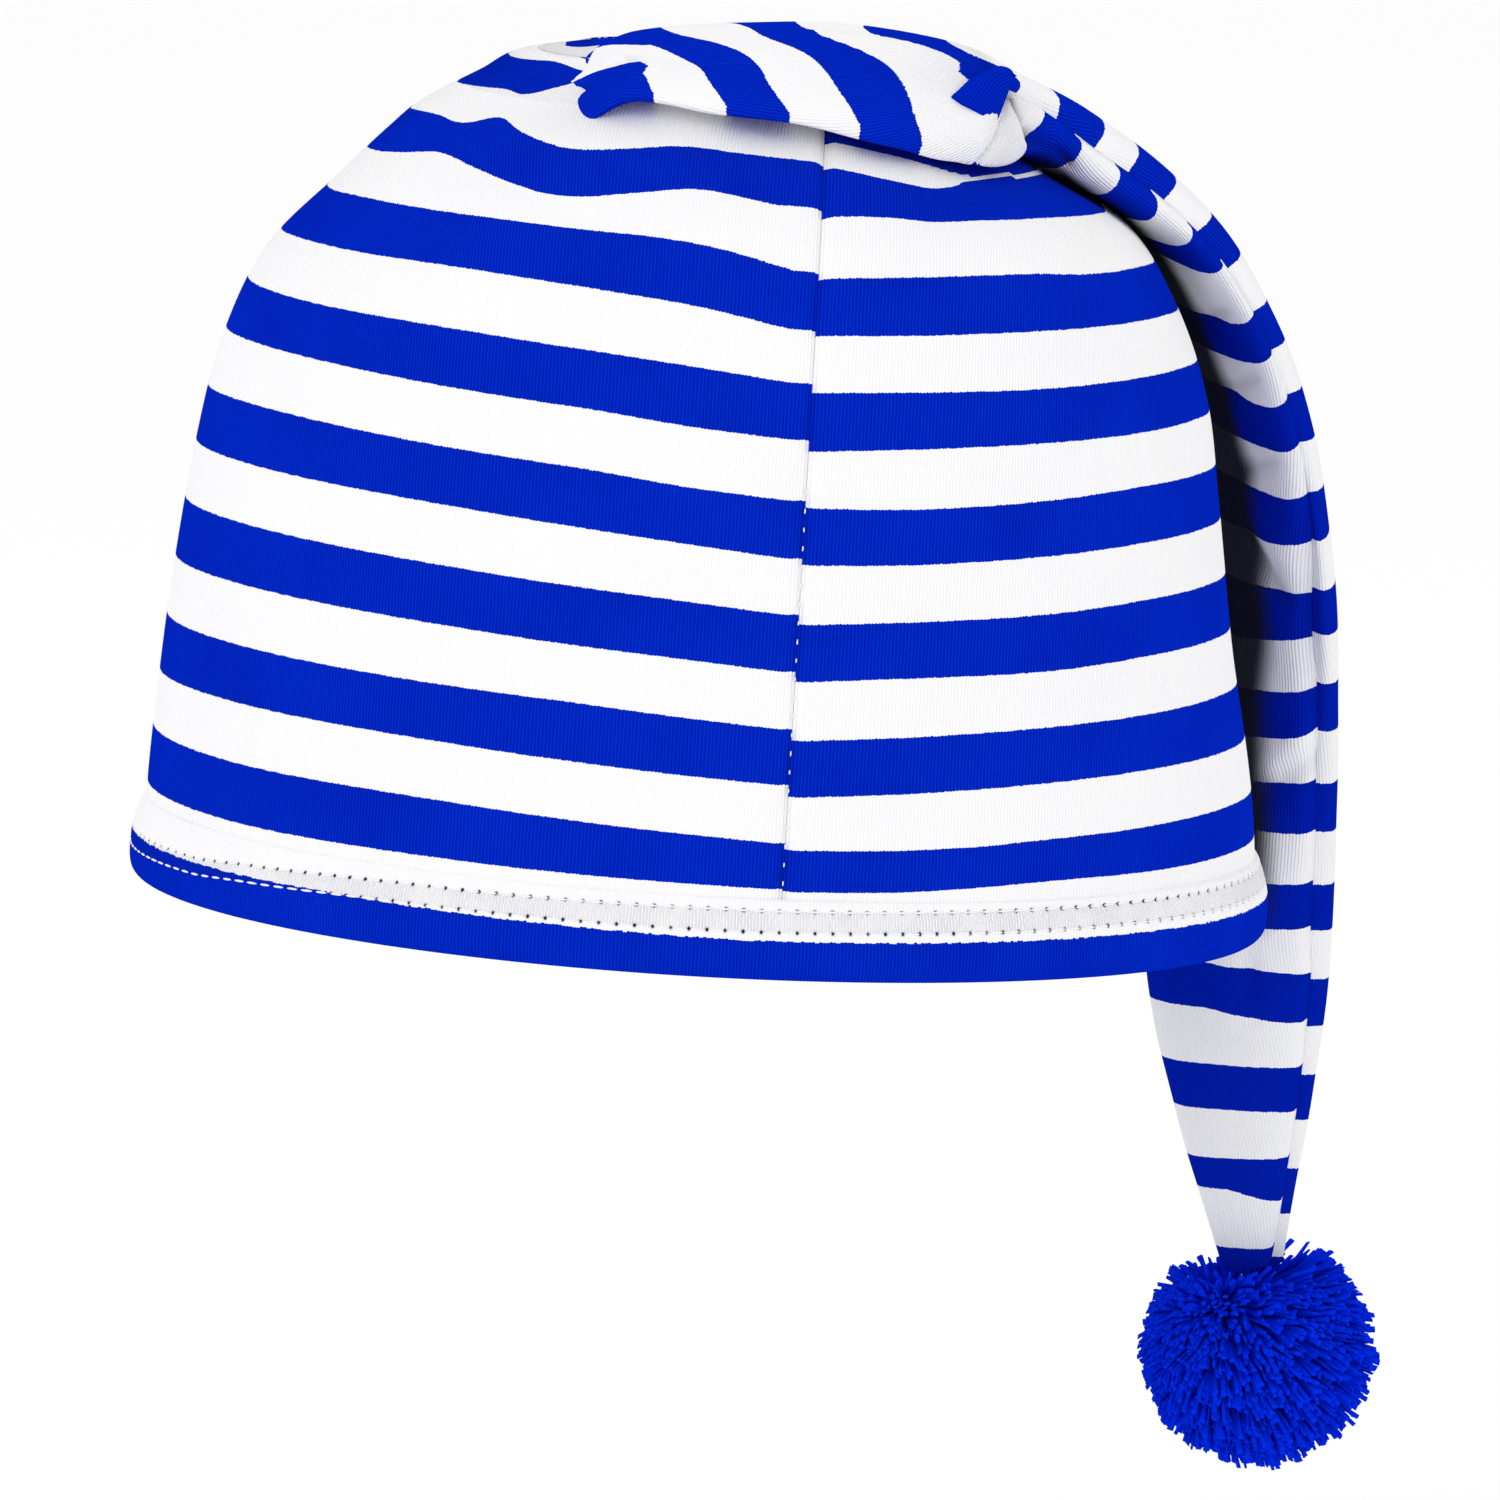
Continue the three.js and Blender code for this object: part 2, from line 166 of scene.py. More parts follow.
# And down its inner half, which shows a stripe more at the pinch.
innerStripeAngles = [-85, -30, 10, 45]
innerStripeEdges = np.array([
    (0.13, 0.13, 0.13, 0.13), (0.16, 0.16, 0.16, 0.16), (0.19, 0.19, 0.19, 0.19),
    (0.262, 0.262, 0.235, 0.235), (0.262, 0.262, 0.2795, 0.2996), (0.322, 0.3246, 0.3275, 0.326),
    (0.366, 0.362, 0.360, 0.3585), (0.404, 0.400, 0.392, 0.387), (0.430, 0.427, 0.421, 0.417),
    (0.4465, 0.4503, 0.448, 0.4465), (0.490, 0.484, 0.478, 0.475), (0.5115, 0.507, 0.501, 0.498),
    (0.532, 0.531, 0.524, 0.521), (0.557, 0.5547, 0.548, 0.546), (0.581, 0.579, 0.5725, 0.57),
    (0.605, 0.602, 0.596, 0.594), (0.6298, 0.6262, 0.623, 0.622), (0.657, 0.647, 0.644, 0.643),
    (0.679, 0.671, 0.6655, 0.664), (0.7, 0.6911, 0.683, 0.68), (0.717, 0.712, 0.7095, 0.709),
    (0.736, 0.7327, 0.731, 0.7305), (0.7605, 0.757, 0.7545, 0.754), (0.787, 0.785, 0.7835, 0.783),
    (0.8086, 0.812, 0.8149, 0.8149), (0.8336, 0.841, 0.8424, 0.8424), (0.864, 0.866, 0.8674, 0.8674),
    (0.8878, 0.890, 0.8918, 0.8918), (0.915, 0.916, 0.9162, 0.9162), (0.932, 0.9406, 0.9418, 0.9418),
    (0.975, 0.977, 0.9762, 0.9762),
])
# Where the tail's front seam runs as it twists: share of its length and angle round it.
seamTwistShares = [
    0.0, 0.237, 0.262, 0.278, 0.30, 0.326, 0.359, 0.389, 0.418, 0.448, 0.477, 0.5, 0.524, 0.5485, 0.574, 0.5985,
    0.6254, 0.6467, 0.6673, 0.6854, 0.71, 0.731, 0.755, 0.784, 0.815, 0.842, 0.867, 0.892, 0.916, 0.942, 1.0,
]
seamTwistAngles = [
    0, 0, 58, 54, 46, 37, 32, 27, 25, 18, 16, 15, 12, 3, -9, -20,
    -26, -26, -18, -13, -7, -4, -4, -5, 0, 1, 4, 4, 6, 6, 2,
]

lean = math.radians(crownLean)
upward = np.array([0.0, 0.0, 1.0])
seamGuide = [2.4, 6.0]


def between(rows, share):
    place = np.clip(share, 0, 1) * (len(rows) - 1)
    at = np.minimum(np.floor(place).astype(int), len(rows) - 2)
    step = (place - at)[..., None]
    before = rows[np.maximum(at - 1, 0)]
    start = rows[at]
    end = rows[at + 1]
    after = rows[np.minimum(at + 2, len(rows) - 1)]
    slopeIn = (end - before) / 2
    slopeOut = (after - start) / 2
    bend = 2 * (start - end) + slopeIn + slopeOut
    rise = 3 * (end - start) - 2 * slopeIn - slopeOut
    return ((bend * step + rise) * step + slopeIn) * step + start


def unit(vectors):
    return vectors / np.maximum(np.linalg.norm(vectors, axis=-1, keepdims=True), 1e-12)


def leaned(x, y, z):
    return np.stack([x * math.cos(lean) + z * math.sin(lean), y + 0 * x, -x * math.sin(lean) + z * math.cos(lean)], -1)


def crownFlat(share, angle):
    up, half, shift, deep = np.moveaxis(between(crownRows, share), -1, 0)
    x = (half * np.cos(angle) + shift) * openingWidth / 2
    y = deep * np.sin(angle) * openingDepth / 2
    return x, y, up * crownHeight


def crownPoint(share, angle):
    x, y, z = crownFlat(share, angle)
    return leaned(x, y, z)


def tailMiddle(share):
    row = between(tailRows, share)
    return np.stack([row[..., 0] * openingWidth / 2, row[..., 1] * openingDepth / 2, row[..., 2] * crownHeight], -1)


def tailFrame(share):
    reach = 1.5 / tailSections
    along = unit(tailMiddle(np.minimum(share + reach, 1)) - tailMiddle(np.maximum(share - reach, 0)))
    turn = np.radians(between(tailRows, share)[..., 7])
    front = np.stack([np.cos(turn), np.sin(turn), 0 * turn], -1)
    front = unit(front - along * (front * along).sum(-1, keepdims=True))
    return along, front, np.cross(front, along)


def eased(value, low, high):
    step = np.clip((value - low) / (high - low), 0, 1)
    return step * step * (3 - 2 * step)


# The folded peak's front edge stands off the crown: how far, and between which shares of the tail's length.
peak = {
    "hang": (0.0, -4.6, 2.6),
    "hangFrom": (0.072, 0.11),
    "hangTo": (0.25, 0.30),
    "raise": 1.8,
    "raiseTo": (0.10, 0.135),
    "drop": 6.5,
    "dropTo": (0.056, 0.104),
}


def tailPoint(share, angle):
    row = between(tailRows, share)
    along, front, out = tailFrame(share)
    width = row[..., 3] * tailWidth / 2 - tailInset
    thick = np.where(np.sin(angle) > 0, row[..., 4], row[..., 5]) * tailThickness / 2
    outward = thick * np.sin(angle) - row[..., 6] * tailThickness / 2 * np.cos(angle) ** 2
    points = tailMiddle(share) + front * (width * np.cos(angle))[..., None] + out * outward[..., None]
    hang = eased(share, *peak["hangFrom"]) * (1 - eased(share, *peak["hangTo"])) * np.clip(np.cos(angle), 0, 1) ** 2
    lift = peak["raise"] * hang * (1 - eased(share, *peak["raiseTo"]))
    lift = lift - peak["drop"] * (1 - eased(share, *peak["dropTo"]))
    return points + hang[..., None] * np.array(peak["hang"]) + lift[..., None] * upward


def stripeCount(along, edges):
    # how many stripe edges lie below each point, with the part of the stripe it is in
    steps = np.arange(len(edges))
    pitchLow = edges[1] - edges[0]
    pitchHigh = edges[-1] - edges[-2]
    inside = np.interp(along, edges, steps)
    inside = np.where(along < edges[0], (along - edges[0]) / pitchLow, inside)
    return np.where(along > edges[-1], steps[-1] + (along - edges[-1]) / pitchHigh, inside)


def smoothBetween(at, spots, values):
    spots = np.asarray(spots, float)
    values = np.asarray(values, float)
    slopes = np.gradient(values, spots)
    at = np.clip(at, spots[0], spots[-1])
    low = np.clip(np.searchsorted(spots, at, side="right") - 1, 0, len(spots) - 2)
    wide = spots[low + 1] - spots[low]
    step = (at - spots[low]) / wide
    start = (1 + 2 * step) * (1 - step) ** 2 * values[low] + step * (1 - step) ** 2 * wide * slopes[low]
    end = step**2 * (3 - 2 * step) * values[low + 1] - step**2 * (1 - step) * wide * slopes[low + 1]
    return start + end


def stripesOver(along, angles, columnAngles, table):
    # along and angles are grids; each angle gets its own edges, blended between the table's columns
    counts = np.empty_like(along)
    edges = np.stack([smoothBetween(angles, columnAngles, line) for line in table])
    edges = np.maximum.accumulate(edges, axis=0)
    for row in range(along.shape[0]):
        for column in range(along.shape[1]):
            counts[row, column] = stripeCount(along[row, column], edges[:, row, column])
    return counts


def arcLength(points, axis):
    steps = np.linalg.norm(np.diff(points, axis=axis), axis=-1)
    zero = np.zeros_like(np.take(steps, [0], axis=axis))
    return np.concatenate([zero, np.cumsum(steps, axis=axis)], axis=axis)


def normalsFacing(points, outward):
    normals = unit(np.cross(np.gradient(points, axis=0), np.gradient(points, axis=1)))
    return normals if (normals * outward).sum(-1).mean() > 0 else -normals


def softWaves(points, size, seed):
    # a few slow sine waves in space, for cloth that doesn't lie quite even
    random = np.random.default_rng(seed)
    total = np.zeros(points.shape[:-1])
    for _ in range(7):
        way = unit(random.normal(size=3))
        total += np.sin((points @ way) / size * random.uniform(0.7, 1.5) * 2 * math.pi + random.uniform(0, 6.28))
    return total / 7


def uneven(points, normals, tuning):
    waves = softWaves(points, tuning["unevenSize"], tuning["unevenSeed"])
    return points + normals * (waves * tuning["unevenRise"])[..., None]


def besideFold(points, start, end):
    # how far along the fold each point lies, and how far from it
    way = end - start
    share = np.clip(((points - start) @ way) / (way @ way), 0, 1)
    return share, np.linalg.norm(points - (start + share[..., None] * way), axis=-1)


def folded(points, normals, folds):
    moved = np.zeros(points.shape[:-1])
    for start, end, rise, width, _ in folds:
        share, away = besideFold(points, start, end)
        ends = np.sin(np.pi * np.clip(share * 0.86 + 0.07, 0, 1)) ** 0.6
        moved += rise * ends * np.exp(-((away / width) ** 2))
    return points + normals * moved[..., None]


def nearness(points, spots, reach):
    # 1 at the spots, falling off softly with distance
    flat = points.reshape(-1, 3)
    closest = np.full(len(flat), 1e9)
    for block in np.array_split(spots, max(1, len(spots) // 60)):
        apart = np.linalg.norm(flat[:, None] - block[None], axis=-1)
        closest = np.minimum(closest, apart.min(1))
    return np.exp(-closest / reach).reshape(points.shape[:-1])


def foldShadow(points, folds):
    # the painted shadow that lies in a deep crease
    dark = np.zeros(points.shape[:-1])
    for start, end, _, width, depth in folds:
        _, away = besideFold(points, start, end)
        dark = np.maximum(dark, depth * np.exp(-((away / (0.55 * width)) ** 2)))
    return dark


def newObject(name, data):
    made = bpy.data.objects.new(name, data)
    bpy.context.scene.collection.objects.link(made)
    return made


def paint(mesh, name, values):
    # values per corner, as a UV map that the finish reads
    layer = mesh.uv_layers.new(name=name)
    layer.data.foreach_set("uv", values.astype(np.float32).ravel())


def cornerPoints(mesh):
    corners = np.empty(len(mesh.loops), dtype=np.int64)
    mesh.loops.foreach_get("vertex_index", corners)
    return corners


class ClothMesh:
    # collects closed shells of cloth and makes one mesh of them
    def __init__(self):
        self.points = []
        self.faces = []
        self.cloth = []
        self.shade = []
        self.count = 0

    def shell(self, points, cloth, normals, wall, shade):
        rows, columns = points.shape[:2]
        inner = points - normals * wall
        base = self.count
        size = rows * columns
        self.points += [points.reshape(-1, 3), inner.reshape(-1, 3)]
        self.cloth += [cloth.reshape(-1, 2), cloth.reshape(-1, 2)]
        self.shade += [shade.reshape(-1, 2), shade.reshape(-1, 2)]
        self.count += 2 * size
        index = np.arange(size).reshape(rows, columns)
        a, b, c, d = index[:-1, :-1], index[:-1, 1:], index[1:, 1:], index[1:, :-1]
        quads = np.stack([a, b, c, d], -1).reshape(-1, 4)
        across = np.cross(np.gradient(points, axis=1), np.gradient(points, axis=0))
        forward = (across * normals).sum(-1).mean() > 0
        outer, back = (quads, quads[:, ::-1] + size) if forward else (quads[:, ::-1], quads + size)
        rim = []
        loop = [*index[0, :], *index[1:, -1], *index[-1, -2::-1], *index[-2:0:-1, 0]]
        for place, here in enumerate(loop):
            there = loop[(place + 1) % len(loop)]
            side = [here, here + size, there + size, there]
            rim.append(side if forward else side[::-1])
        self.faces += [outer + base, back + base, np.array(rim) + base]

    def build(self, name):
        mesh = bpy.data.meshes.new(name)
        mesh.from_pydata((np.concatenate(self.points) / 1000).tolist(), [], np.concatenate(self.faces).tolist())
        corners = cornerPoints(mesh)
        paint(mesh, "cloth", np.concatenate(self.cloth)[corners])
        paint(mesh, "shade", np.concatenate(self.shade)[corners])
        return finished(mesh, name)


def finished(mesh, name):
    work = bmesh.new()
    work.from_mesh(mesh)
    bmesh.ops.remove_doubles(work, verts=work.verts, dist=2e-6)
    bmesh.ops.dissolve_degenerate(work, edges=work.edges, dist=1e-6)
    bmesh.ops.recalc_face_normals(work, faces=work.faces)
    work.to_mesh(mesh)
    work.free()
    mesh.polygons.foreach_set("use_smooth", [True] * len(mesh.polygons))
    return newObject(name, mesh)


def declare(piece, material, slot, *nodes):
    piece.data.materials.clear()
    piece.data.materials.append(material)
    if nodes:
        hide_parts(*nodes)
    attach(piece, "root")
    triangles = sum(len(face.vertices) - 2 for face in piece.data.polygons)
    print(piece.name, "has", triangles, "triangles", flush=True)
    return piece


class Signal:
    def __init__(self, tree, socket):
        self.tree = tree
        self.socket = socket

    def math(self, operation, *values):
        node = self.tree.nodes.new("ShaderNodeMath")
        node.operation = operation
        for place, value in zip(node.inputs, values):
            feed(self.tree, place, value)
        return Signal(self.tree, node.outputs[0])

    def __add__(self, other):
        return self.math("ADD", self, other)

    def __radd__(self, other):
        return self.math("ADD", other, self)

    def __sub__(self, other):
        return self.math("SUBTRACT", self, other)

    def __rsub__(self, other):
        return self.math("SUBTRACT", other, self)

    def __mul__(self, other):
        return self.math("MULTIPLY", self, other)

    def __rmul__(self, other):
        return self.math("MULTIPLY", other, self)

    def __truediv__(self, other):
        return self.math("DIVIDE", self, other)

    def __pow__(self, other):
        return self.math("POWER", self, other)

    def __lt__(self, other):
        return self.math("LESS_THAN", self, other)

    def __gt__(self, other):
        return self.math("GREATER_THAN", self, other)

    def floor(self):
        return self.math("FLOOR", self)

    def part(self):
        return self.math("FRACT", self)

    def size(self):
        return self.math("ABSOLUTE", self)

    def sine(self):
        return self.math("SINE", self)

    def clipped(self):
        return self.math("MINIMUM", self.math("MAXIMUM", self, 0.0), 1.0)

    def bell(self, width):
        return self.math("EXPONENT", (self / width) ** 2.0 * -1.0)


def feed(tree, place, value):
    if isinstance(value, Signal):
        tree.links.new(value.socket, place)
    elif place.type == "RGBA" and len(value) == 3:
        place.default_value = (*value, 1.0)
    else:
        place.default_value = value


socketName = {
    "base_color": "Base Color",
    "roughness": "Roughness",
    "normal": "Normal",
    "sheen_weight": "Sheen Weight",
    "specular_ior_level": "Specular IOR Level",
    "emission_color": "Emission Color",
    "emission_strength": "Emission Strength",
}


class Finish:
    def __init__(self, name, **surface):
        self.material = bpy.data.materials.new(name)
        self.material.use_nodes = True
        self.tree = self.material.node_tree
        self.surface = next(node for node in self.tree.nodes if node.type == "BSDF_PRINCIPLED")
        for key, value in surface.items():
            feed(self.tree, self.surface.inputs[socketName[key]], value)

    def node(self, kind, settings=None, values=None, output=0):
        node = self.tree.nodes.new(kind)
        for key, value in (settings or {}).items():
            setattr(node, key, value)
        for key, value in (values or {}).items():
            feed(self.tree, node.inputs[key], value)
        return Signal(self.tree, node.outputs[output])

    def uv(self, name):
        spread = self.node("ShaderNodeUVMap", {"uv_map": name})
        split = self.node("ShaderNodeSeparateXYZ", values={0: spread})
        across = split
        up = Signal(self.tree, split.socket.node.outputs[1])
        return across, up

    def place(self):
        return self.node("ShaderNodeTexCoord", output="Object")

    def noise(self, scale, detail=2.0, where=None, rough=0.5):
        return self.node(
            "ShaderNodeTexNoise",
            values={"Vector": where or self.place(), "Scale": scale, "Detail": detail, "Roughness": rough},
        )

    def chance(self, value):
        return self.node("ShaderNodeTexWhiteNoise", {"noise_dimensions": "1D"}, {"W": value})

    def mix(self, share, first, second):
        return self.node(
            "ShaderNodeMix",
            {"data_type": "RGBA", "clamp_factor": True},
            {0: share, 6: first, 7: second},
            output=2,
        )

    def bump(self, height, distance, strength=1.0):
        return self.node("ShaderNodeBump", values={"Height": height, "Distance": distance, "Strength": strength})

    def show(self, **sockets):
        for key, value in sockets.items():
            feed(self.tree, self.surface.inputs[socketName[key]], value)
        return self.material


jersey = {
    "blue": (0.0010, 0.027, 0.62),
    "toneAndShadeBlue": (0.0004, 0.013, 0.40),
    "white": (0.98, 0.975, 0.985),
    "toneAndShadeWhite": (0.89, 0.89, 0.925),
    "shadow": (0.012, 0.013, 0.022),
    "roughness": 0.92,
    "sheen": 0.0,
    "ribRise": 0.00012,
    "edgeTooth": 0.012,
    "edgeJitter": 0.013,
    "leftSeed": 3.0,
    "rightSeed": 211.0,
    "clouds": 55.0,
    "threads": 1500.0,
    # how much clouds, threads and the furrows between ribs take the colour to its deep or grey tone; clouds and
    # threads vary the yarn's tone, the furrows' part is painted shade
    "toDeep": (0.8, 0.3, 1.05),
    "toGrey": (0.5, 0.08, 0.3),
    "cloudMiddle": 0.42,
    "coursesPerStripe": 20.0,
    "courseRise": 0.12,
    "threadRise": 0.08,
}


def ribOf(wales):
    return (wales * (2 * math.pi)).sine() * 0.5 + 0.5


def jerseyColours(made, rib, extra=0.0):
    cloud = made.noise(jersey["clouds"], 3.0)
    thread = made.noise(jersey["threads"], 2.0)
    byCloud, byThread, byRib = jersey["toDeep"]
    # the furrows between the ribs get painted shade, the clouds and threads an uneven tone
    deep = (cloud - 0.5) * byCloud + (thread - 0.5) * byThread + (1.0 - rib) * byRib + extra
    byCloud, byThread, byRib = jersey["toGrey"]
    grey = (cloud - jersey["cloudMiddle"]) * byCloud + (thread - 0.5) * byThread + (1.0 - rib) * byRib
    blueCloth = made.mix(deep.clipped(), jersey["blue"], jersey["toneAndShadeBlue"])
    return blueCloth, made.mix(grey.clipped(), jersey["white"], jersey["toneAndShadeWhite"]), thread


def jerseyFinish(name, seed):
    made = Finish(name, roughness=jersey["roughness"], sheen_weight=jersey["sheen"], specular_ior_level=0.0)
    wale, stripe = made.uv("cloth")
    wales = wale / walePitch
    rib = ribOf(wales)
    tooth = (wales.part() - 0.5).size() * (2 * jersey["edgeTooth"])
    jitter = made.chance(wales.floor() + seed) * jersey["edgeJitter"]
    blue = ((stripe + tooth + jitter - jersey["edgeJitter"] / 2) / 2.0).part() < 0.5
    shade, paintedBlueShade = made.uv("shade")
    blueCloth, whiteCloth, thread = jerseyColours(made, rib, paintedBlueShade)
    courses = (stripe * jersey["coursesPerStripe"] + rib * 0.4).part()
    height = rib + thread * jersey["threadRise"] + (courses - 0.5).size() * jersey["courseRise"]
    return made.show(
        base_color=made.mix(shade, made.mix(blue, whiteCloth, blueCloth), jersey["shadow"]),
        normal=made.bump(height, jersey["ribRise"]),
    )


leftFinish = jerseyFinish("striped jersey, left panel", jersey["leftSeed"])
rightFinish = jerseyFinish("striped jersey, right panel", jersey["rightSeed"])

crownTuning = {
    "rings": 140,
    "leftColumns": 210,
    "rightColumns": 190,
    "middle": 60.0,
    "compassSteps": 1440,
    "climbSteps": 500,
    "seamGroove": 0.9,
    "grooveWidth": 1.1,
    "unevenSize": 60.0,
    "unevenRise": 0.35,
    "unevenSeed": 5,
    # where the tail lies against the right side and presses it in
    "tailPress": 1.4,
    "pressAngle": 2.0,
    "pressWidth": 13.0,
    "pressFrom": (0.10, 0.25),
    "pressTo": (0.62, 0.78),
    # what the peak's edge and the tail shade, with how dark and how far
    "peakEdge": (0.075, 0.265, 60),
    "peakForward": (0.0, 2.0, 0.0),
    "peakShade": (0.14, 8.0),
    "tailBeside": (0.31, 0.76, 80),
    "tailAngles": [-60, -90, -120, -150],
    "tailShade": (0.9, 6.0),
}


def seamAngles(shares):
    # where the front and the back seam cross each ring
    half = crownTuning["compassSteps"] // 2
    angles = np.radians(np.linspace(-180, 180, 2 * half + 1))
    front, back = [], []
    for share in shares:
        x, y, _ = crownFlat(np.full_like(angles, share), angles)
        line = np.interp(y, [-seamTurnDepth, seamTurnDepth], [seamOffset, -seamOffset])
        right = x > line
        for store, start in ((front, 0), (back, half)):
            hit = np.nonzero(np.diff(right[start : start + half + 1].astype(int)))[0]
            if not len(hit):
                store.append(0.0)
                continue
            at = start + (hit[-1] if store is back else hit[0])
            gap = (x - line)[at : at + 2]
            store.append(angles[at] + (angles[at + 1] - angles[at]) * gap[0] / (gap[0] - gap[1]))
    return np.array(front), np.array(back)


def crownHalf(cloth, left, folds):
    first = panelBottom / crownHeight / crownRows[1, 0] * (1 / (len(crownRows) - 1))
    shares = np.linspace(first, 1, crownTuning["rings"])
    front, back = seamAngles(shares)
    columns = crownTuning["leftColumns"] if left else crownTuning["rightColumns"]
    across = np.linspace(0, 1, columns)[None, :]
    ends = (back - 2 * math.pi) if left else back
    angle = front[:, None] + (ends - front)[:, None] * across
    share = shares[:, None] + 0 * angle
    points = crownPoint(share, angle)
    normals = normalsFacing(points, points - crownTuning["middle"] * upward)
    # length of cloth up from the hem's plane
    dense = np.linspace(0, 1, crownTuning["climbSteps"])
    compass = np.radians(np.linspace(-360, 180, 181))
    grid = crownPoint(dense[:, None] + 0 * compass, compass + 0 * dense[:, None])
    climb = arcLength(grid, 0)
    up = np.empty_like(angle)
    for row in range(len(shares)):
        level = np.array([np.interp(shares[row], dense, climb[:, k]) for k in range(len(compass))])
        up[row] = np.interp(angle[row], compass, level)
    degrees = -np.abs((np.degrees(angle) + 180) % 360 - 180)
    if left:
        places = np.array(foldStripeAngles)
        lower = np.stack([smoothBetween(places, leftStripeAngles, line) for line in leftStripeEdges])
        stripe = stripesOver(up, degrees, foldStripeAngles, np.concatenate([lower, foldStripeEdges]))
    else:
        stripe = stripesOver(up, degrees, rightStripeAngles, rightStripeEdges)
    # the ribs run along the front seam
    wale = arcLength(points, 1)
    fromEdge = np.minimum(wale, wale[:, [-1]] - wale)
    groove = crownTuning["seamGroove"] * np.exp(-((fromEdge / crownTuning["grooveWidth"]) ** 2))
    points = points - normals * groove[..., None]
    points = uneven(points, normals, crownTuning)
    if not left:
        press = np.exp(-(((np.degrees(angle) - crownTuning["pressAngle"]) / crownTuning["pressWidth"]) ** 2))
        press = press * eased(share, *crownTuning["pressFrom"]) * (1 - eased(share, *crownTuning["pressTo"]))
        points = points - normals * (crownTuning["tailPress"] * press)[..., None]
    points = folded(points, normals, folds)
    edgeShares = np.linspace(*crownTuning["peakEdge"])
    peakEdge = tailPoint(edgeShares, np.zeros_like(edgeShares)) + np.array(crownTuning["peakForward"])
    sides = np.meshgrid(np.linspace(*crownTuning["tailBeside"]), np.radians(crownTuning["tailAngles"]))
    shade = foldShadow(points, folds)
    for spots, (dark, reach) in ((peakEdge, crownTuning["peakShade"]), (tailPoint(*sides), crownTuning["tailShade"])):
        shade = np.maximum(shade, dark * nearness(points, spots.reshape(-1, 3), reach))
    if left:
        # the top closes to a point under the folded peak
        top = points[-1].mean(0)
        points = np.concatenate([points, np.broadcast_to(top, (1, columns, 3))])
        normals = np.concatenate([normals, np.broadcast_to([0.0, 0.0, 1.0], (1, columns, 3))])
        stripe = np.concatenate([stripe, stripe[-1:] + 0.5])
        wale = np.concatenate([wale, wale[-1:]])
        shade = np.concatenate([shade, shade[-1:]])
    cloth.shell(points, np.stack([wale, stripe], -1), normals, clothWall, np.stack([shade, 0 * shade], -1))


def foldsOn(surface, rows):
    # each row: share and angle where the fold starts, the same where it ends, its rise, width and the darkness of the
    # shadow painted along it
    def spot(share, angle):
        return surface(np.array([share]), np.array([math.radians(angle)]))[0]

    return [(spot(*row[0:2]), spot(*row[2:4]), *row[4:]) for row in rows]


leftCrownFolds = foldsOn(crownPoint, [
    (0.60, -158, 0.72, -112, 0.9, 6.0, 0.0),
    (0.66, -150, 0.585, -108, -0.9, 4.5, 0.0),
    (0.53, -135, 0.56, -100, 0.6, 7.0, 0.0),
])
rightCrownFolds = foldsOn(crownPoint, [
    (0.68, -40, 0.60, -62, -0.8, 5.0, 0.0),
    (0.60, -30, 0.54, -50, 0.6, 5.0, 0.0),
])

tailTuning = {
    "steps": 330,
    "sides": 56,
    "outerStart": 0.015,
    "innerStart": 0.06,
    "groove": 2.0,
    "grooveWidth": 2.6,
    "grooveShare": 0.25,
    "grooveFrom": (0.24, 0.27),
    "unevenSize": 26.0,
    "unevenRise": 0.3,
    "unevenSeed": 11,
    "paintedBlueShade": 0.75,
    "blueShadeFrom": (0.3, 0.6),
    "shade": 0.01,
    "lowShade": 0.02,
    "lowFrom": (0.3, 0.75),
    "shadeFrom": (0.28, 0.34),
    "contactFade": 21.0,
    "contactDark": 0.985,
    "contactTo": (0.765, 0.80),
}
# From which angle round the tail the crown shades it, by share of the tail's length.
contactShares = [0.30, 0.36, 0.40, 0.43, 0.46, 0.50, 0.53, 0.56, 0.60, 0.63, 0.655, 0.68, 0.706, 0.733, 0.77]
contactAngles = [15, 34, 50, 64, 74, 74, 70, 66, 58, 54, 49, 50, 45, 38, 34]


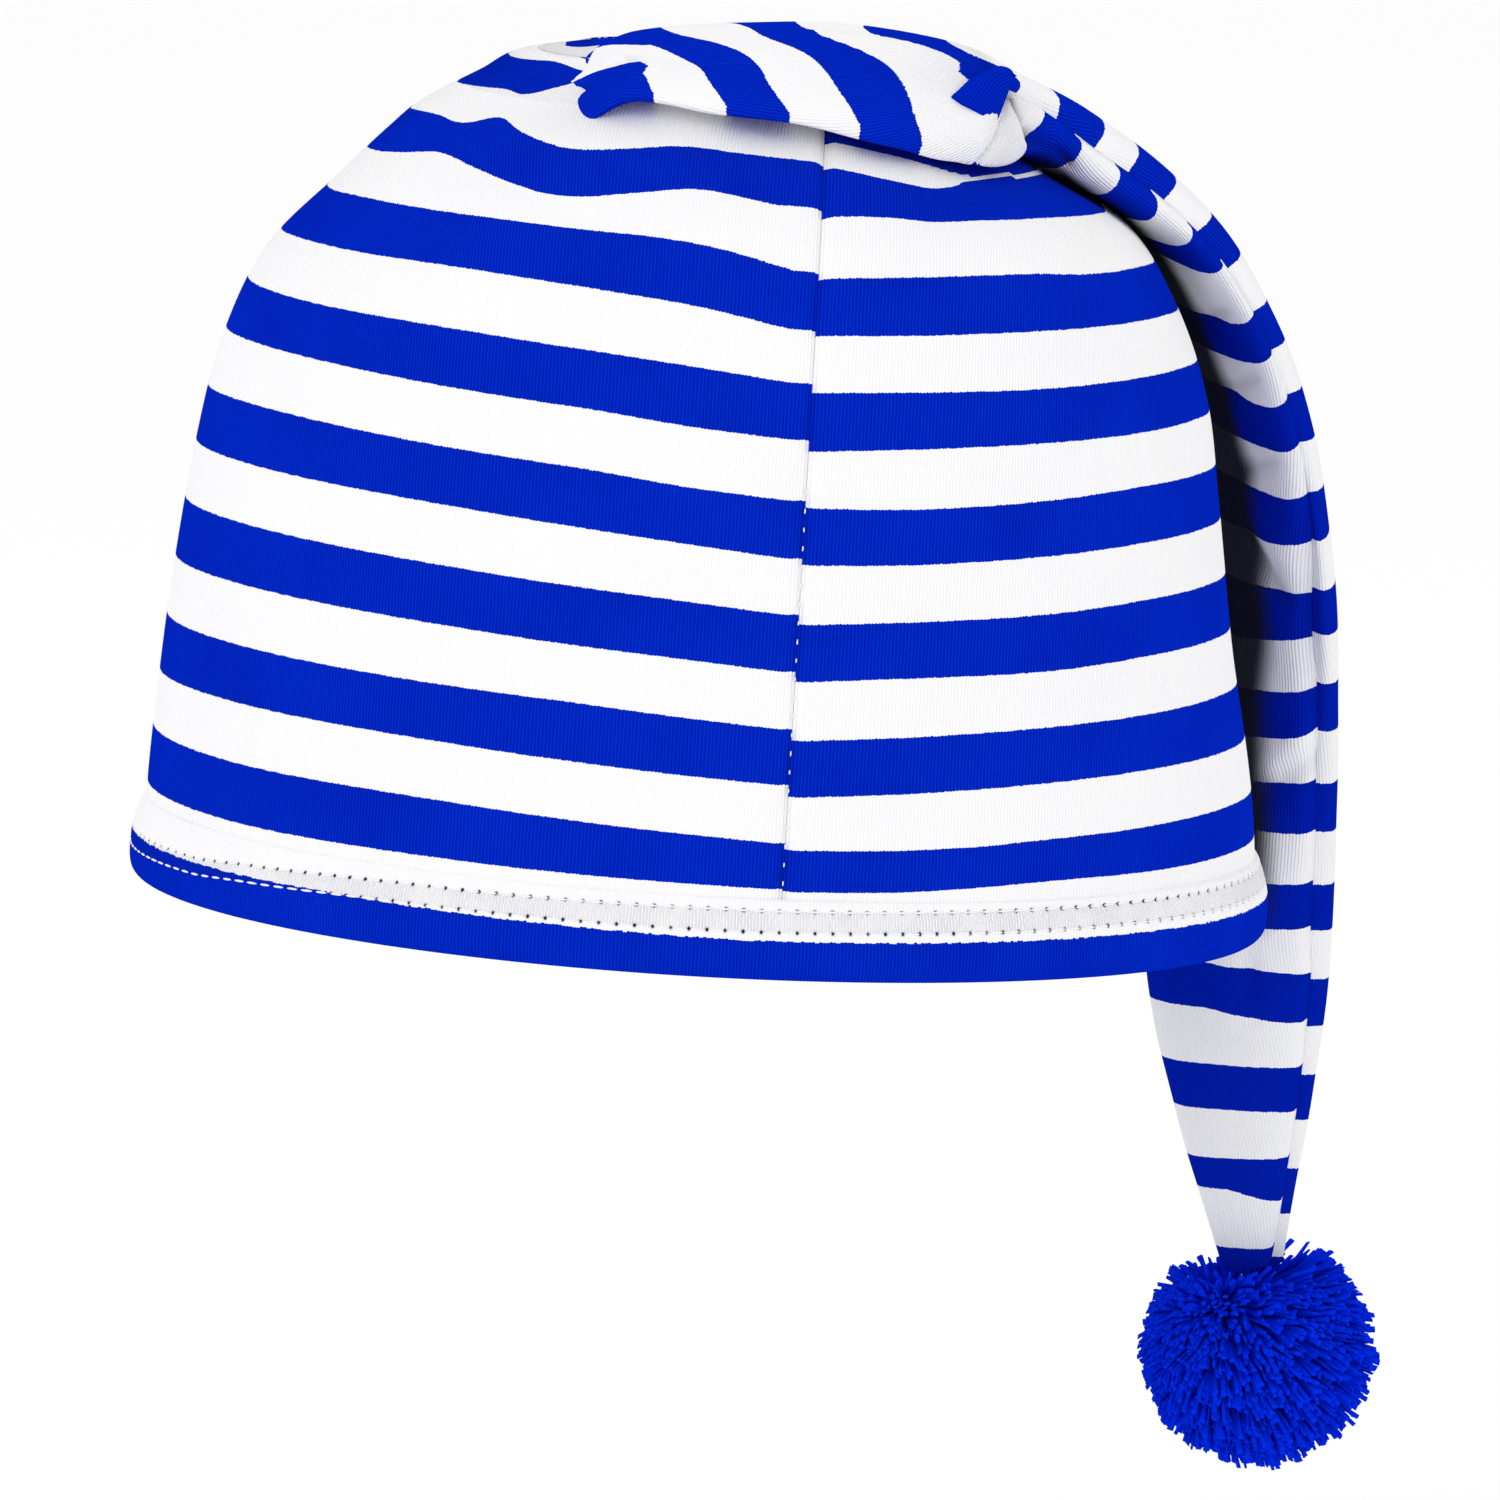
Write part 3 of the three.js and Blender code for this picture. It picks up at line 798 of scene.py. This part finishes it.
def tailHalf(cloth, outer, folds):
    start = tailTuning["outerStart"] if outer else tailTuning["innerStart"]
    shares = np.linspace(start, 1, tailTuning["steps"])
    twist = np.radians(smoothBetween(shares, seamTwistShares, seamTwistAngles))[:, None]
    across = np.linspace(0, 1, tailTuning["sides"])[None, :]
    angle = twist + ((math.pi if outer else -math.pi) - twist) * across
    share = shares[:, None] + 0 * angle
    points = tailPoint(share, angle)
    normals = normalsFacing(points, points - tailMiddle(share))
    degrees = np.degrees(angle)
    if outer:
        spread = np.array(rollStripeAngles)
        lower = np.stack([np.interp(spread, [0, 90], pair) for pair in outerStripeEdges])
        table = np.concatenate([rollStripeEdges, lower])
        stripe = stripesOver(share, degrees, rollStripeAngles, table)
    else:
        stripe = stripesOver(share, degrees, innerStripeAngles, innerStripeEdges)
    wale = arcLength(points, 1)
    fromSeam = np.minimum(wale, wale[:, [-1]] - wale)
    groove = tailTuning["groove"] * np.exp(-((fromSeam / tailTuning["grooveWidth"]) ** 2))
    least = tailTuning["grooveShare"]
    groove = groove * (least + (1 - least) * eased(share, *tailTuning["grooveFrom"]))
    wale = wale - wale[:, [tailTuning["sides"] // 2]]
    # painted shade: the blue darkens down the tail, the cloth is shaded lower down, where the crown shades it and in
    # the creases
    paintedBlueShade = tailTuning["paintedBlueShade"] * eased(share, *tailTuning["blueShadeFrom"])
    shade = tailTuning["shade"] + tailTuning["lowShade"] * eased(share, *tailTuning["lowFrom"])
    if not outer:
        darkFrom = np.interp(share, contactShares, contactAngles)
        contact = eased(-degrees, darkFrom, darkFrom + tailTuning["contactFade"])
        contact = contact * (1 - eased(share, *tailTuning["contactTo"]))
        shade = np.maximum(shade, tailTuning["contactDark"] * contact)
    shade = shade * eased(share, *tailTuning["shadeFrom"])
    shade = np.maximum(shade, foldShadow(points, folds))
    points = points - normals * groove[..., None]
    points = uneven(points, normals, tailTuning)
    points = folded(points, normals, folds)
    cloth.shell(points, np.stack([wale, stripe], -1), normals, clothWall, np.stack([shade, paintedBlueShade], -1))


outerFolds = foldsOn(tailPoint, [
    (0.165, 74, 0.262, 62, 1.1, 1.5, 0.0),
    (0.17, 81, 0.255, 70, -0.9, 1.8, 0.0),
    (0.19, 56, 0.235, 47, -0.7, 3.0, 0.0),
    (0.068, 41, 0.106, 47, -1.4, 1.5, 0.25),
    (0.062, 50, 0.112, 55, 1.2, 2.4, 0.0),
    (0.225, 20, 0.25, 35, 1.4, 6.0, 0.0),
    (0.108, 52, 0.15, 34, -0.7, 2.6, 0.0),
    (0.118, 62, 0.158, 44, 0.7, 3.2, 0.0),
    (0.165, 40, 0.205, 22, -0.6, 3.0, 0.0),
])
innerFolds = foldsOn(tailPoint, [
    (0.262, 46, 0.273, 21, -2.0, 1.8, 0.85),
    (0.273, 22, 0.3246, -22, -2.0, 1.8, 0.75),
    (0.276, 50, 0.32, 10, 0.9, 4.0, 0.0),
    (0.245, -25, 0.29, -8, -1.1, 3.2, 0.2),
    (0.495, -88, 0.478, -45, -0.9, 2.2, 0.12),
    (0.535, -88, 0.517, -42, -1.0, 2.2, 0.15),
    (0.578, -88, 0.562, -48, -1.0, 2.2, 0.15),
    (0.602, -88, 0.632, -48, -1.5, 2.4, 0.3),
    (0.588, -80, 0.612, -45, 1.0, 3.0, 0.0),
    (0.795, -58, 0.832, -52, -1.0, 1.8, 0.0),
    (0.80, -70, 0.835, -66, 0.7, 2.2, 0.0),
    (0.685, -18, 0.712, -60, 1.2, 2.6, 0.0),
    (0.70, -20, 0.722, -60, -1.2, 2.2, 0.0),
])

# The small pleat that stands up where the peak is pinched: edge points as share, angle and lift.
pleatLeft = [(0.268, 64, 0.2), (0.2433, 57, 1.2), (0.2320, 49, 1.4), (0.2225, 37, 1.0)]
pleatRight = [(0.268, 62, 0.2), (0.259, 50, 1.4), (0.252, 38, 1.6), (0.2455, 24, 1.0)]
pleatTuning = {"steps": 26, "sides": 22, "bulge": 2.4, "rootBulge": 0.25, "droop": (0.003, 3.0), "wall": 0.9}


def pleat(cloth):
    steps = np.linspace(0, 1, pleatTuning["steps"])
    places = np.linspace(0, 1, len(pleatLeft))
    sides = np.linspace(0, 1, pleatTuning["sides"])

    def edge(line):
        return np.stack([np.interp(steps, places, [spot[k] for spot in line]) for k in range(3)], -1)

    mixed = edge(pleatLeft)[:, None] * (1 - sides)[None, :, None] + edge(pleatRight)[:, None] * sides[None, :, None]
    least = pleatTuning["rootBulge"]
    arch = np.sin(math.pi * sides)[None, :]
    hump = arch * (least + (1 - least) * np.sin(math.pi * steps * 0.8))[:, None]
    droop = arch * (steps**3)[:, None]
    share = mixed[..., 0] - pleatTuning["droop"][0] * droop
    angle = np.radians(mixed[..., 1] - pleatTuning["droop"][1] * droop)
    points = tailPoint(share, angle)
    _, _, out = tailFrame(share)
    points = points + out * (mixed[..., 2] + pleatTuning["bulge"] * hump)[..., None]
    normals = normalsFacing(points, out)
    weave = np.stack([arcLength(points, 1), 0.5 + 0 * share], -1)
    cloth.shell(points, weave, normals, pleatTuning["wall"], 0 * weave)


leftCloth = ClothMesh()
crownHalf(leftCloth, True, leftCrownFolds)
tailHalf(leftCloth, True, outerFolds)
pleat(leftCloth)
leftPanel = leftCloth.build("leftPanel")
declare(leftPanel, leftFinish, "left_jersey", "left_panel")

rightCloth = ClothMesh()
crownHalf(rightCloth, False, rightCrownFolds)
tailHalf(rightCloth, False, innerFolds)
rightPanel = rightCloth.build("rightPanel")
declare(rightPanel, rightFinish, "right_jersey", "right_panel")

hemSection = np.array([
    (-1.4, 1.4), (-0.9, 0.35), (0.1, 0.0), (1.3, 0.2), (2.15, 1.1), (2.5, 2.6), (2.55, 4.6), (2.4, 6.8), (2.0, 8.8),
    (1.45, 10.6), (0.85, 12.2), (0.3, 13.4), (-0.1, 13.7), (-1.3, 13.3), (-1.5, 7.0),
])
hemTuning = {
    "around": 1100,
    "across": 60,
    "outside": 0.6,
    "stitchPitch": 3.1,
    "boundaryAngles": [-180, -130, -110, -85, -40, 0],
    "boundary": [7.6, 7.9, 7.5, 7.0, 7.5, 7.5],
    # how far the cloth waves in and out, and over what lengths
    "wave": (0.22, 23.0, 61.0),
    # how deep and how wide each row is pressed, and each needle hole: its height and length
    "press": (0.16, 0.55),
    "hole": (0.38, 0.3, 0.35),
    "rowsGrey": (0.74, 0.74, 0.79),
    # the needle holes are painted dark, as the shadow in them
    "holeShadeColour": (0.015, 0.015, 0.06),
    "holeWidth": 0.24,
    "holeHeight": 0.28,
    "rowScale": 3.4,
    "threadPitch": 0.56,
    "threadStrength": 0.9,
    "holeShadeStrength": 1.3,
    "patches": 180.0,
    "edgeJitter": 0.25,
    "edgeTooth": 0.15,
    "edgeSeed": 71.0,
}
# The lower stitch row above the colour boundary, by compass angle: it runs off onto the blue at the left.
stitchAngles = [-180, -150, -143, -130, -122, -88, 0]
stitchRise = [-2.6, -1.9, -1.1, -0.2, 0.4, 1.4, 1.9]
stitchGap = [2.6, 2.7, 2.8, 3.0, 3.1, 3.5, 3.3]


def compassOf(angle):
    return -np.abs((np.degrees(angle) + 180) % 360 - 180)


def hemBoundary(angle):
    return np.interp(compassOf(angle), hemTuning["boundaryAngles"], hemTuning["boundary"])


def stitchRows(angle):
    # the height of the lower row, and from it to the upper one
    compass = compassOf(angle)
    low = hemBoundary(angle) + np.interp(compass, stitchAngles, stitchRise)
    return low, np.interp(compass, stitchAngles, stitchGap)


def hemSurface(angle, section):
    x = (openingWidth / 2 + section[..., 0]) * np.cos(angle)
    y = (openingDepth / 2 + section[..., 0]) * np.sin(angle)
    return leaned(x, y, section[..., 1])


def hemLength(angle):
    return arcLength(hemSurface(angle, np.broadcast_to(seamGuide, (len(angle), 2))), 0)


def hemWave(length):
    rise, short, long = hemTuning["wave"]
    return rise * np.sin(length / short) * np.sin(length / long + 1.0)


def closedCurve(points, count):
    around = np.concatenate([points[-2:], points, points[:3]])
    spots = np.linspace(0, len(points), count, endpoint=False)
    at = np.floor(spots).astype(int)
    step = (spots - at)[:, None]
    p0, p1, p2, p3 = (around[at + 1 + k] for k in range(4))
    bend = (2 * p0 - 5 * p1 + 4 * p2 - p3) * step**2 + (3 * p1 - p0 - 3 * p2 + p3) * step**3
    return 0.5 * (2 * p1 + (p2 - p0) * step + bend)


def hemOut(height):
    outer = hemSection[3:13]
    return np.interp(height, outer[:, 1], outer[:, 0])


def makeHem():
    section = closedCurve(hemSection, hemTuning["across"])
    angle = np.linspace(-math.pi, math.pi, hemTuning["around"], endpoint=False)[:, None]
    spread = section[None] + 0 * angle[..., None]
    ringLength = hemLength(angle[:, 0])[:, None]
    height = spread[..., 1]
    lowRow, gap = stitchRows(angle)
    along = (ringLength + 0 * height) / hemTuning["stitchPitch"]
    needle = np.abs(along - np.round(along)) * hemTuning["stitchPitch"]
    outer = spread[..., 0] > hemTuning["outside"]
    press = np.zeros_like(height)
    pressDeep, pressWide = hemTuning["press"]
    holeDeep, holeHigh, holeLong = hemTuning["hole"]
    for row in (lowRow, lowRow + gap):
        press += pressDeep * np.exp(-(((height - row) / pressWide) ** 2))
        press += holeDeep * np.exp(-(((height - row) / holeHigh) ** 2) - (needle / holeLong) ** 2)
    spread[..., 0] += np.where(outer, -press, 0) + hemWave(ringLength)
    points = hemSurface(angle, spread)
    rows, columns = points.shape[:2]
    index = np.arange(rows * columns).reshape(rows, columns)
    beside = np.roll(index, -1, axis=1)
    faces = np.stack([index, beside, np.roll(beside, -1, axis=0), np.roll(index, -1, axis=0)], -1).reshape(-1, 4)
    mesh = bpy.data.meshes.new("hem")
    mesh.from_pydata((points.reshape(-1, 3) / 1000).tolist(), [], faces.tolist())
    corners = cornerPoints(mesh)
    # the last faces close the ring, so their far side carries the whole length
    total = float(ringLength[-1, 0] + (ringLength[1, 0] - ringLength[0, 0]))
    across = (ringLength + 0 * height).reshape(-1)[corners]
    ring = corners // columns
    firstOfFace = np.repeat(ring.reshape(-1, 4)[:, 0], 4)
    across = np.where((firstOfFace == rows - 1) & (ring == 0), total, across)
    paint(mesh, "cloth", np.stack([across, (height - hemBoundary(angle)).reshape(-1)[corners]], -1))
    paint(mesh, "stitch", np.stack([across, ((height - lowRow) / gap).reshape(-1)[corners]], -1))
    return finished(mesh, "turnedHem")


def hemFinish():
    made = Finish("hem jersey", roughness=jersey["roughness"], sheen_weight=jersey["sheen"], specular_ior_level=0.0)
    across, above = made.uv("cloth")
    _, row = made.uv("stitch")
    wales = across / walePitch
    rib = ribOf(wales)
    jitter = made.chance(wales.floor() + hemTuning["edgeSeed"]) * hemTuning["edgeJitter"]
    tooth = (wales.part() - 0.5).size() * hemTuning["edgeTooth"]
    blue = (above + jitter + tooth) < 0.2
    blueCloth, whiteCloth, thread = jerseyColours(made, rib)
    stitches = across / hemTuning["stitchPitch"]
    fromNeedle = ((stitches + 0.5).part() - 0.5) * hemTuning["stitchPitch"]
    holeAcross = fromNeedle.bell(hemTuning["holeWidth"])
    lower = (row * hemTuning["rowScale"]).bell(hemTuning["holeHeight"])
    upper = ((row - 1.0) * hemTuning["rowScale"]).bell(hemTuning["holeHeight"])
    holes = (holeAcross * lower + holeAcross * upper).clipped()
    inRows = (row > 0.0) * (row < 1.0)
    threads = (across * (2 * math.pi / hemTuning["threadPitch"]) + thread * 3.0).sine() * inRows
    colour = made.mix(blue, whiteCloth, blueCloth)
    patchy = (made.noise(hemTuning["patches"], 1.0) * 3.0 - 0.9).clipped()
    seen = (threads * hemTuning["threadStrength"] * patchy).clipped() * (1.0 - blue)
    colour = made.mix(seen, colour, hemTuning["rowsGrey"])
    # painted shadow in the needle holes
    dark = (holes * (hemTuning["holeShadeStrength"] + patchy)).clipped() * (1.0 - blue)
    colour = made.mix(dark, colour, hemTuning["holeShadeColour"])
    height = rib * (1.0 - inRows) + threads * 0.8 + thread * jersey["threadRise"]
    return made.show(base_color=colour, normal=made.bump(height, jersey["ribRise"]))


hem = makeHem()
declare(hem, hemFinish(), "hem_jersey", "hem_band")


class NodeTree:
    # builds one Geometry Nodes tree from its inputs' names and kinds
    def __init__(self, name, **inputs):
        self.tree = bpy.data.node_groups.new(name, "GeometryNodeTree")
        self.socket("Geometry", "INPUT", "Geometry")
        for label, kind in inputs.items():
            self.socket(label, "INPUT", kind)
        self.socket("Geometry", "OUTPUT", "Geometry")
        self.start = self.tree.nodes.new("NodeGroupInput").outputs

    def socket(self, label, way, kind):
        self.tree.interface.new_socket(label, in_out=way, socket_type="NodeSocket" + kind)

    def add(self, kind, values, output=0, **settings):
        node = self.tree.nodes.new(kind)
        for key, value in settings.items():
            setattr(node, key, value)
        for key, value in values.items():
            if isinstance(value, bpy.types.NodeSocket):
                self.tree.links.new(value, node.inputs[key])
            else:
                node.inputs[key].default_value = value
        return node.outputs[output]

    def maths(self, operation, first, second):
        return self.add("ShaderNodeMath", {0: first, 1: second}, operation=operation)

    def vectors(self, operation, values, output=0):
        return self.add("ShaderNodeVectorMath", values, output, operation=operation)

    def ramp(self, value, start, end, low, high):
        limits = {"From Min": start, "From Max": end, "To Min": low, "To Max": high}
        return self.add("ShaderNodeMapRange", {"Value": value, **limits})

    def draw(self, kind, low, high):
        limits = {"Min": low, "Max": high, "Seed": self.start["Seed"]}
        drawn = self.add("FunctionNodeRandomValue", limits, data_type=kind)
        return next(socket for socket in drawn.node.outputs if socket.enabled)

    def placed(self, points, instance, rotation, scale):
        values = {"Points": points, "Instance": instance, "Rotation": rotation, "Scale": scale}
        return self.add("GeometryNodeRealizeInstances", {0: self.add("GeometryNodeInstanceOnPoints", values)})

    def painted(self, geometry, material):
        shown = self.add("GeometryNodeSetMaterial", {"Geometry": geometry, "Material": material})
        self.tree.links.new(shown, self.tree.nodes.new("NodeGroupOutput").inputs[0])
        return self.tree


def grown(source, tree, values, name):
    # runs the tree on the source and keeps the result as a plain mesh
    modifier = source.modifiers.new("grow", "NODES")
    modifier.node_group = tree
    names = {item.name: item.identifier for item in tree.interface.items_tree if item.in_out == "INPUT"}
    for label, value in values.items():
        modifier[names[label]] = value
    bpy.context.view_layer.update()
    graph = bpy.context.evaluated_depsgraph_get()
    mesh = bpy.data.meshes.new_from_object(source.evaluated_get(graph), depsgraph=graph)
    bpy.data.objects.remove(source, do_unlink=True)
    mesh.polygons.foreach_set("use_smooth", [True] * len(mesh.polygons))
    return newObject(name, mesh)


def curveThrough(lines, name):
    curve = bpy.data.curves.new(name, "CURVE")
    curve.dimensions = "3D"
    for line in lines:
        spline = curve.splines.new("POLY")
        spline.points.add(len(line) - 1)
        spots = np.concatenate([line / 1000, np.ones((len(line), 1))], 1)
        spline.points.foreach_set("co", spots.astype(np.float32).ravel())
    return newObject(name, curve)


stitches = {
    # metres, as the tree reads them
    "hem": {"Pitch": hemTuning["stitchPitch"] / 1000, "Length": 0.0024, "Radius": 0.00021, "Seed": 4},
    "seam": {"Pitch": 0.0031, "Length": 0.0009, "Radius": 0.00014, "Seed": 9},
    "uneven": (0.86, 1.1),
    "white": (0.96, 0.96, 0.97),
    "shaded": (0.80, 0.81, 0.85),
    "twist": 2500.0,
    "twistRise": 0.0001,
    "hemSpots": 1400,
    "hemSunk": 0.12,
    "seamShares": (0.09, 0.36, 300),
    "seamProud": 0.25,
}


def stitchTree():
    build = NodeTree("stitch row", Pitch="Float", Length="Float", Radius="Float", Seed="Int", Thread="Material")
    start = build.start
    row = {"Curve": start["Geometry"], "Length": start["Pitch"]}
    spaced = build.add("GeometryNodeResampleCurve", row, mode="LENGTH")
    tangent = build.add("GeometryNodeInputTangent", {})
    aligned = build.add("FunctionNodeAlignRotationToVector", {"Vector": tangent}, axis="Z")
    bead = build.add("GeometryNodeMeshUVSphere", {"Segments": 8, "Rings": 6, "Radius": 1.0})
    half = build.maths("MULTIPLY", start["Length"], 0.5)
    long = build.maths("MULTIPLY", half, build.draw("FLOAT", *stitches["uneven"]))
    size = build.add("ShaderNodeCombineXYZ", {0: start["Radius"], 1: start["Radius"], 2: long})
    return build.painted(build.placed(spaced, bead, aligned, size), start["Thread"])


def threadFinish():
    made = Finish("sewing thread", roughness=0.8, specular_ior_level=0.2)
    twist = made.noise(stitches["twist"], 1.0)
    colour = made.mix(twist, stitches["white"], stitches["shaded"])
    return made.show(base_color=colour, normal=made.bump(twist, stitches["twistRise"]))


def hemRow(upper):
    angle = np.linspace(-math.pi, math.pi, stitches["hemSpots"])
    height, gap = stitchRows(angle)
    if upper:
        height = height + gap
    length = hemLength(angle)
    out = hemOut(height) - stitches["hemSunk"] + hemWave(length)
    # the dashes lie between the needle holes
    shift = int(round(hemTuning["stitchPitch"] / 2 / (length[-1] / len(angle))))
    return hemSurface(angle, np.stack([out, height], -1))[shift:]


def seamLine():
    shares = np.linspace(*stitches["seamShares"])
    front, _ = seamAngles(shares)
    points = crownPoint(shares, front)
    outward = unit(points - upward * points[:, 2:3])
    return points - outward * (crownTuning["seamGroove"] - stitches["seamProud"])


thread = threadFinish()
stitchRow = stitchTree()
for kind, lines, slot in (("hem", [hemRow(False), hemRow(True)], "hem_jersey"), ("seam", [seamLine()], "left_jersey")):
    source = curveThrough(lines, kind + " rows")
    declare(grown(source, stitchRow, {**stitches[kind], "Thread": thread}, kind + "Stitches"), thread, slot)

pompom = {
    "strands": 3500,
    "yarnRadius": 0.43,
    "yarnSides": 5,
    "rootThin": 0.55,
    "lengths": (0.86, 1.03),
    "tilt": (0.3, 0.3, 3.1),
    # shares of the pompom's radius
    "core": 0.5,
    "root": 0.3,
    "tip": 0.99,
    "tipClear": 46.0,
    "seed": 7,
    # metres: strands bend more from inside to outside, and their roots are moved
    "bend": 0.0036,
    "bendScale": 260.0,
    "bendFrom": (0.0065, 0.0216),
    "rootShift": (-0.0046, -0.0052, 0.0068),
    "blue": (0.001, 0.034, 0.90),
    "toneAndShadeBlue": (0.0003, 0.012, 0.56),
    # metres: painted shade deepens the blue inside this radius, fading out over the next distance
    "shadeInside": 0.0165,
    "shadeOver": 0.0045,
    "fuzz": 1800.0,
    "fuzzRise": 0.0002,
    "clumps": 320.0,
}
tipWay = tailFrame(np.array([1.0]))[0][0]
pomCentre = (tailMiddle(np.array([1.0]))[0] + tipWay * pomRadius * pomSeat) / 1000


def yarnTree():
    build = NodeTree(
        "yarn ball", Strands="Int", YarnRadius="Float", Reach="Float", Seed="Int", Bend="Float", Yarn="Material"
    )
    start = build.start
    faces = {"Geometry": start["Geometry"], 2: build.add("GeometryNodeInputMeshFaceArea", {})}
    area = build.add("GeometryNodeAttributeStatistic", faces, "Sum", data_type="FLOAT", domain="FACE")
    density = build.maths("DIVIDE", start["Strands"], area)
    roots = {"Mesh": start["Geometry"], "Density": density, "Seed": start["Seed"]}
    spread = build.add("GeometryNodeDistributePointsOnFaces", roots, distribute_method="RANDOM")
    line = build.add("GeometryNodeCurvePrimitiveLine", {"Start": (0, 0, 0), "End": (0, 0, 1)})
    cut = build.add("GeometryNodeResampleCurve", {"Curve": line, "Count": 5}, mode="COUNT")
    around = {"Resolution": pompom["yarnSides"], "Radius": 1.0}
    ring = build.add("GeometryNodeCurvePrimitiveCircle", around, mode="RADIUS")
    # thin at the root, full at the cut end
    along = build.add("GeometryNodeSplineParameter", {}, "Factor")
    swell = build.ramp(along, 0.0, 1.0, pompom["rootThin"], 1.0)
    profile = build.add("GeometryNodeSetCurveRadius", {"Curve": cut, "Radius": swell})
    tube = build.add("GeometryNodeCurveToMesh", {"Curve": profile, "Profile Curve": ring, "Fill Caps": True})
    wobble = build.draw("FLOAT_VECTOR", tuple(-turn for turn in pompom["tilt"]), pompom["tilt"])
    full = build.maths("MULTIPLY", build.draw("FLOAT", *pompom["lengths"]), start["Reach"])
    scale = build.add("ShaderNodeCombineXYZ", {0: start["YarnRadius"], 1: start["YarnRadius"], 2: full})
    facing = {"Rotation": spread.node.outputs["Rotation"], "Rotate By": wobble}
    turned = build.add("FunctionNodeRotateRotation", facing, rotation_space="LOCAL")
    strands = build.placed(spread, tube, turned, scale)
    place = build.add("GeometryNodeInputPosition", {})
    noise = {"Vector": place, "Scale": pompom["bendScale"], "Detail": 1.0}
    swirl = build.add("ShaderNodeTexNoise", noise, "Color", noise_dimensions="3D")
    centred = build.vectors("SUBTRACT", {0: swirl, 1: (0.5, 0.5, 0.5)})
    far = build.ramp(build.vectors("LENGTH", {0: place}, "Value"), *pompom["bendFrom"], 0.0, 1.0)
    bend = build.vectors("SCALE", {0: centred, "Scale": build.maths("MULTIPLY", far, start["Bend"])})
    near = build.maths("SUBTRACT", 1.0, far)
    lift = build.vectors("SCALE", {0: pompom["rootShift"], "Scale": near})
    both = build.vectors("ADD", {0: bend, 1: lift})
    return build.painted(build.add("GeometryNodeSetPosition", {"Geometry": strands, "Offset": both}), start["Yarn"])


def yarnFinish():
    made = Finish("pompom yarn", roughness=0.95, sheen_weight=0.0, specular_ior_level=0.0)
    away = made.node("ShaderNodeVectorMath", {"operation": "SUBTRACT"}, {0: made.place(), 1: tuple(pomCentre)})
    far = made.node("ShaderNodeVectorMath", {"operation": "LENGTH"}, {0: away}, output="Value")
    # painted shade: the strands darken toward the ball's inside; fuzz and clumps vary the tone at random
    outside = ((far - pompom["shadeInside"]) / pompom["shadeOver"]).clipped()
    fuzz = made.noise(pompom["fuzz"], 2.0)
    clumps = made.noise(pompom["clumps"], 1.0)
    light = (outside * 0.75 + (fuzz - 0.5) * 0.5 + (clumps - 0.5) * 0.5).clipped()
    return made.show(
        base_color=made.mix(light, pompom["toneAndShadeBlue"], pompom["blue"]),
        normal=made.bump(fuzz, pompom["fuzzRise"]),
    )


def makePompom(yarn):
    work = bmesh.new()
    bmesh.ops.create_icosphere(work, subdivisions=4, radius=pomRadius * pompom["root"] / 1000)
    # no strands start where the tail comes in
    inward = Vector(-tipWay)
    clear = [face for face in work.faces if face.normal.angle(inward) < math.radians(pompom["tipClear"])]
    bmesh.ops.delete(work, geom=clear, context="FACES")
    mesh = bpy.data.meshes.new("yarn root")
    work.to_mesh(mesh)
    work.free()
    values = {
        "Strands": pompom["strands"] // 1,
        "YarnRadius": pompom["yarnRadius"] / 1000,
        "Reach": pomRadius * (pompom["tip"] - pompom["root"]) / 1000,
        "Seed": pompom["seed"],
        "Bend": pompom["bend"],
        "Yarn": yarn,
    }
    ball = grown(newObject("yarn root", mesh), yarnTree(), values, "yarnPompom")
    work = bmesh.new()
    work.from_mesh(ball.data)
    bmesh.ops.create_icosphere(work, subdivisions=4, radius=pomRadius * pompom["core"] / 1000)
    bmesh.ops.translate(work, verts=work.verts, vec=Vector(pomCentre))
    work.to_mesh(ball.data)
    work.free()
    return ball


yarn = yarnFinish()
declare(makePompom(yarn), yarn, "pompom_yarn", "pompom")

studio = {
    "floor": [(-8, -8, -0.19), (8, -8, -0.19), (8, 16, -0.19), (-8, 16, -0.19)],
    "floorColour": (0.97, 0.97, 0.97),
    "floorGlow": 0.08,
    "white": (1.0, 1.0, 1.0),
    "backdrop": 0.92,
    # place, side in metres and power in watts
    "key light": ((-0.9, -1.5, 1.5), 0.9, 7.5),
    "fill light": ((1.4, -1.4, 0.7), 1.1, 1.5),
    "lightAim": (0, 0, 0.03),
    "camera": (0.00924, -2.0724, 0.3658),
    "cameraAim": (0.00924, 0, 0.0264),
    "lens": 286.4,
    "sensor": 36,
    "clipEnd": 60,
}


def aimed(made, place, target):
    made.location = place
    made.rotation_euler = (Vector(target) - Vector(place)).to_track_quat("-Z", "Y").to_euler()
    return made


floorMesh = bpy.data.meshes.new("floor")
floorMesh.from_pydata(studio["floor"], [], [(0, 1, 2, 3)])
floorFinish = Finish(
    "pale floor",
    base_color=studio["floorColour"],
    roughness=0.9,
    specular_ior_level=0.1,
    emission_color=studio["white"],
    emission_strength=studio["floorGlow"],
)
floorMesh.materials.append(floorFinish.material)
newObject("floor", floorMesh)

world = bpy.context.scene.world or bpy.data.worlds.new("studio")
bpy.context.scene.world = world
world.use_nodes = True
backdrop = next(node for node in world.node_tree.nodes if node.type == "BACKGROUND")
backdrop.inputs["Color"].default_value = (*studio["white"], 1.0)
backdrop.inputs["Strength"].default_value = studio["backdrop"]

for name in ("key light", "fill light"):
    place, side, power = studio[name]
    lamp = bpy.data.lights.new(name, "AREA")
    lamp.shape = "SQUARE"
    lamp.size = side
    lamp.energy = power
    aimed(newObject(name, lamp), place, studio["lightAim"])

lens = bpy.data.cameras.new("camera")
lens.lens = studio["lens"]
lens.sensor_width = studio["sensor"]
lens.clip_end = studio["clipEnd"]
bpy.context.scene.camera = aimed(newObject("camera", lens), studio["camera"], studio["cameraAim"])
bpy.context.scene.view_settings.view_transform = "Standard"
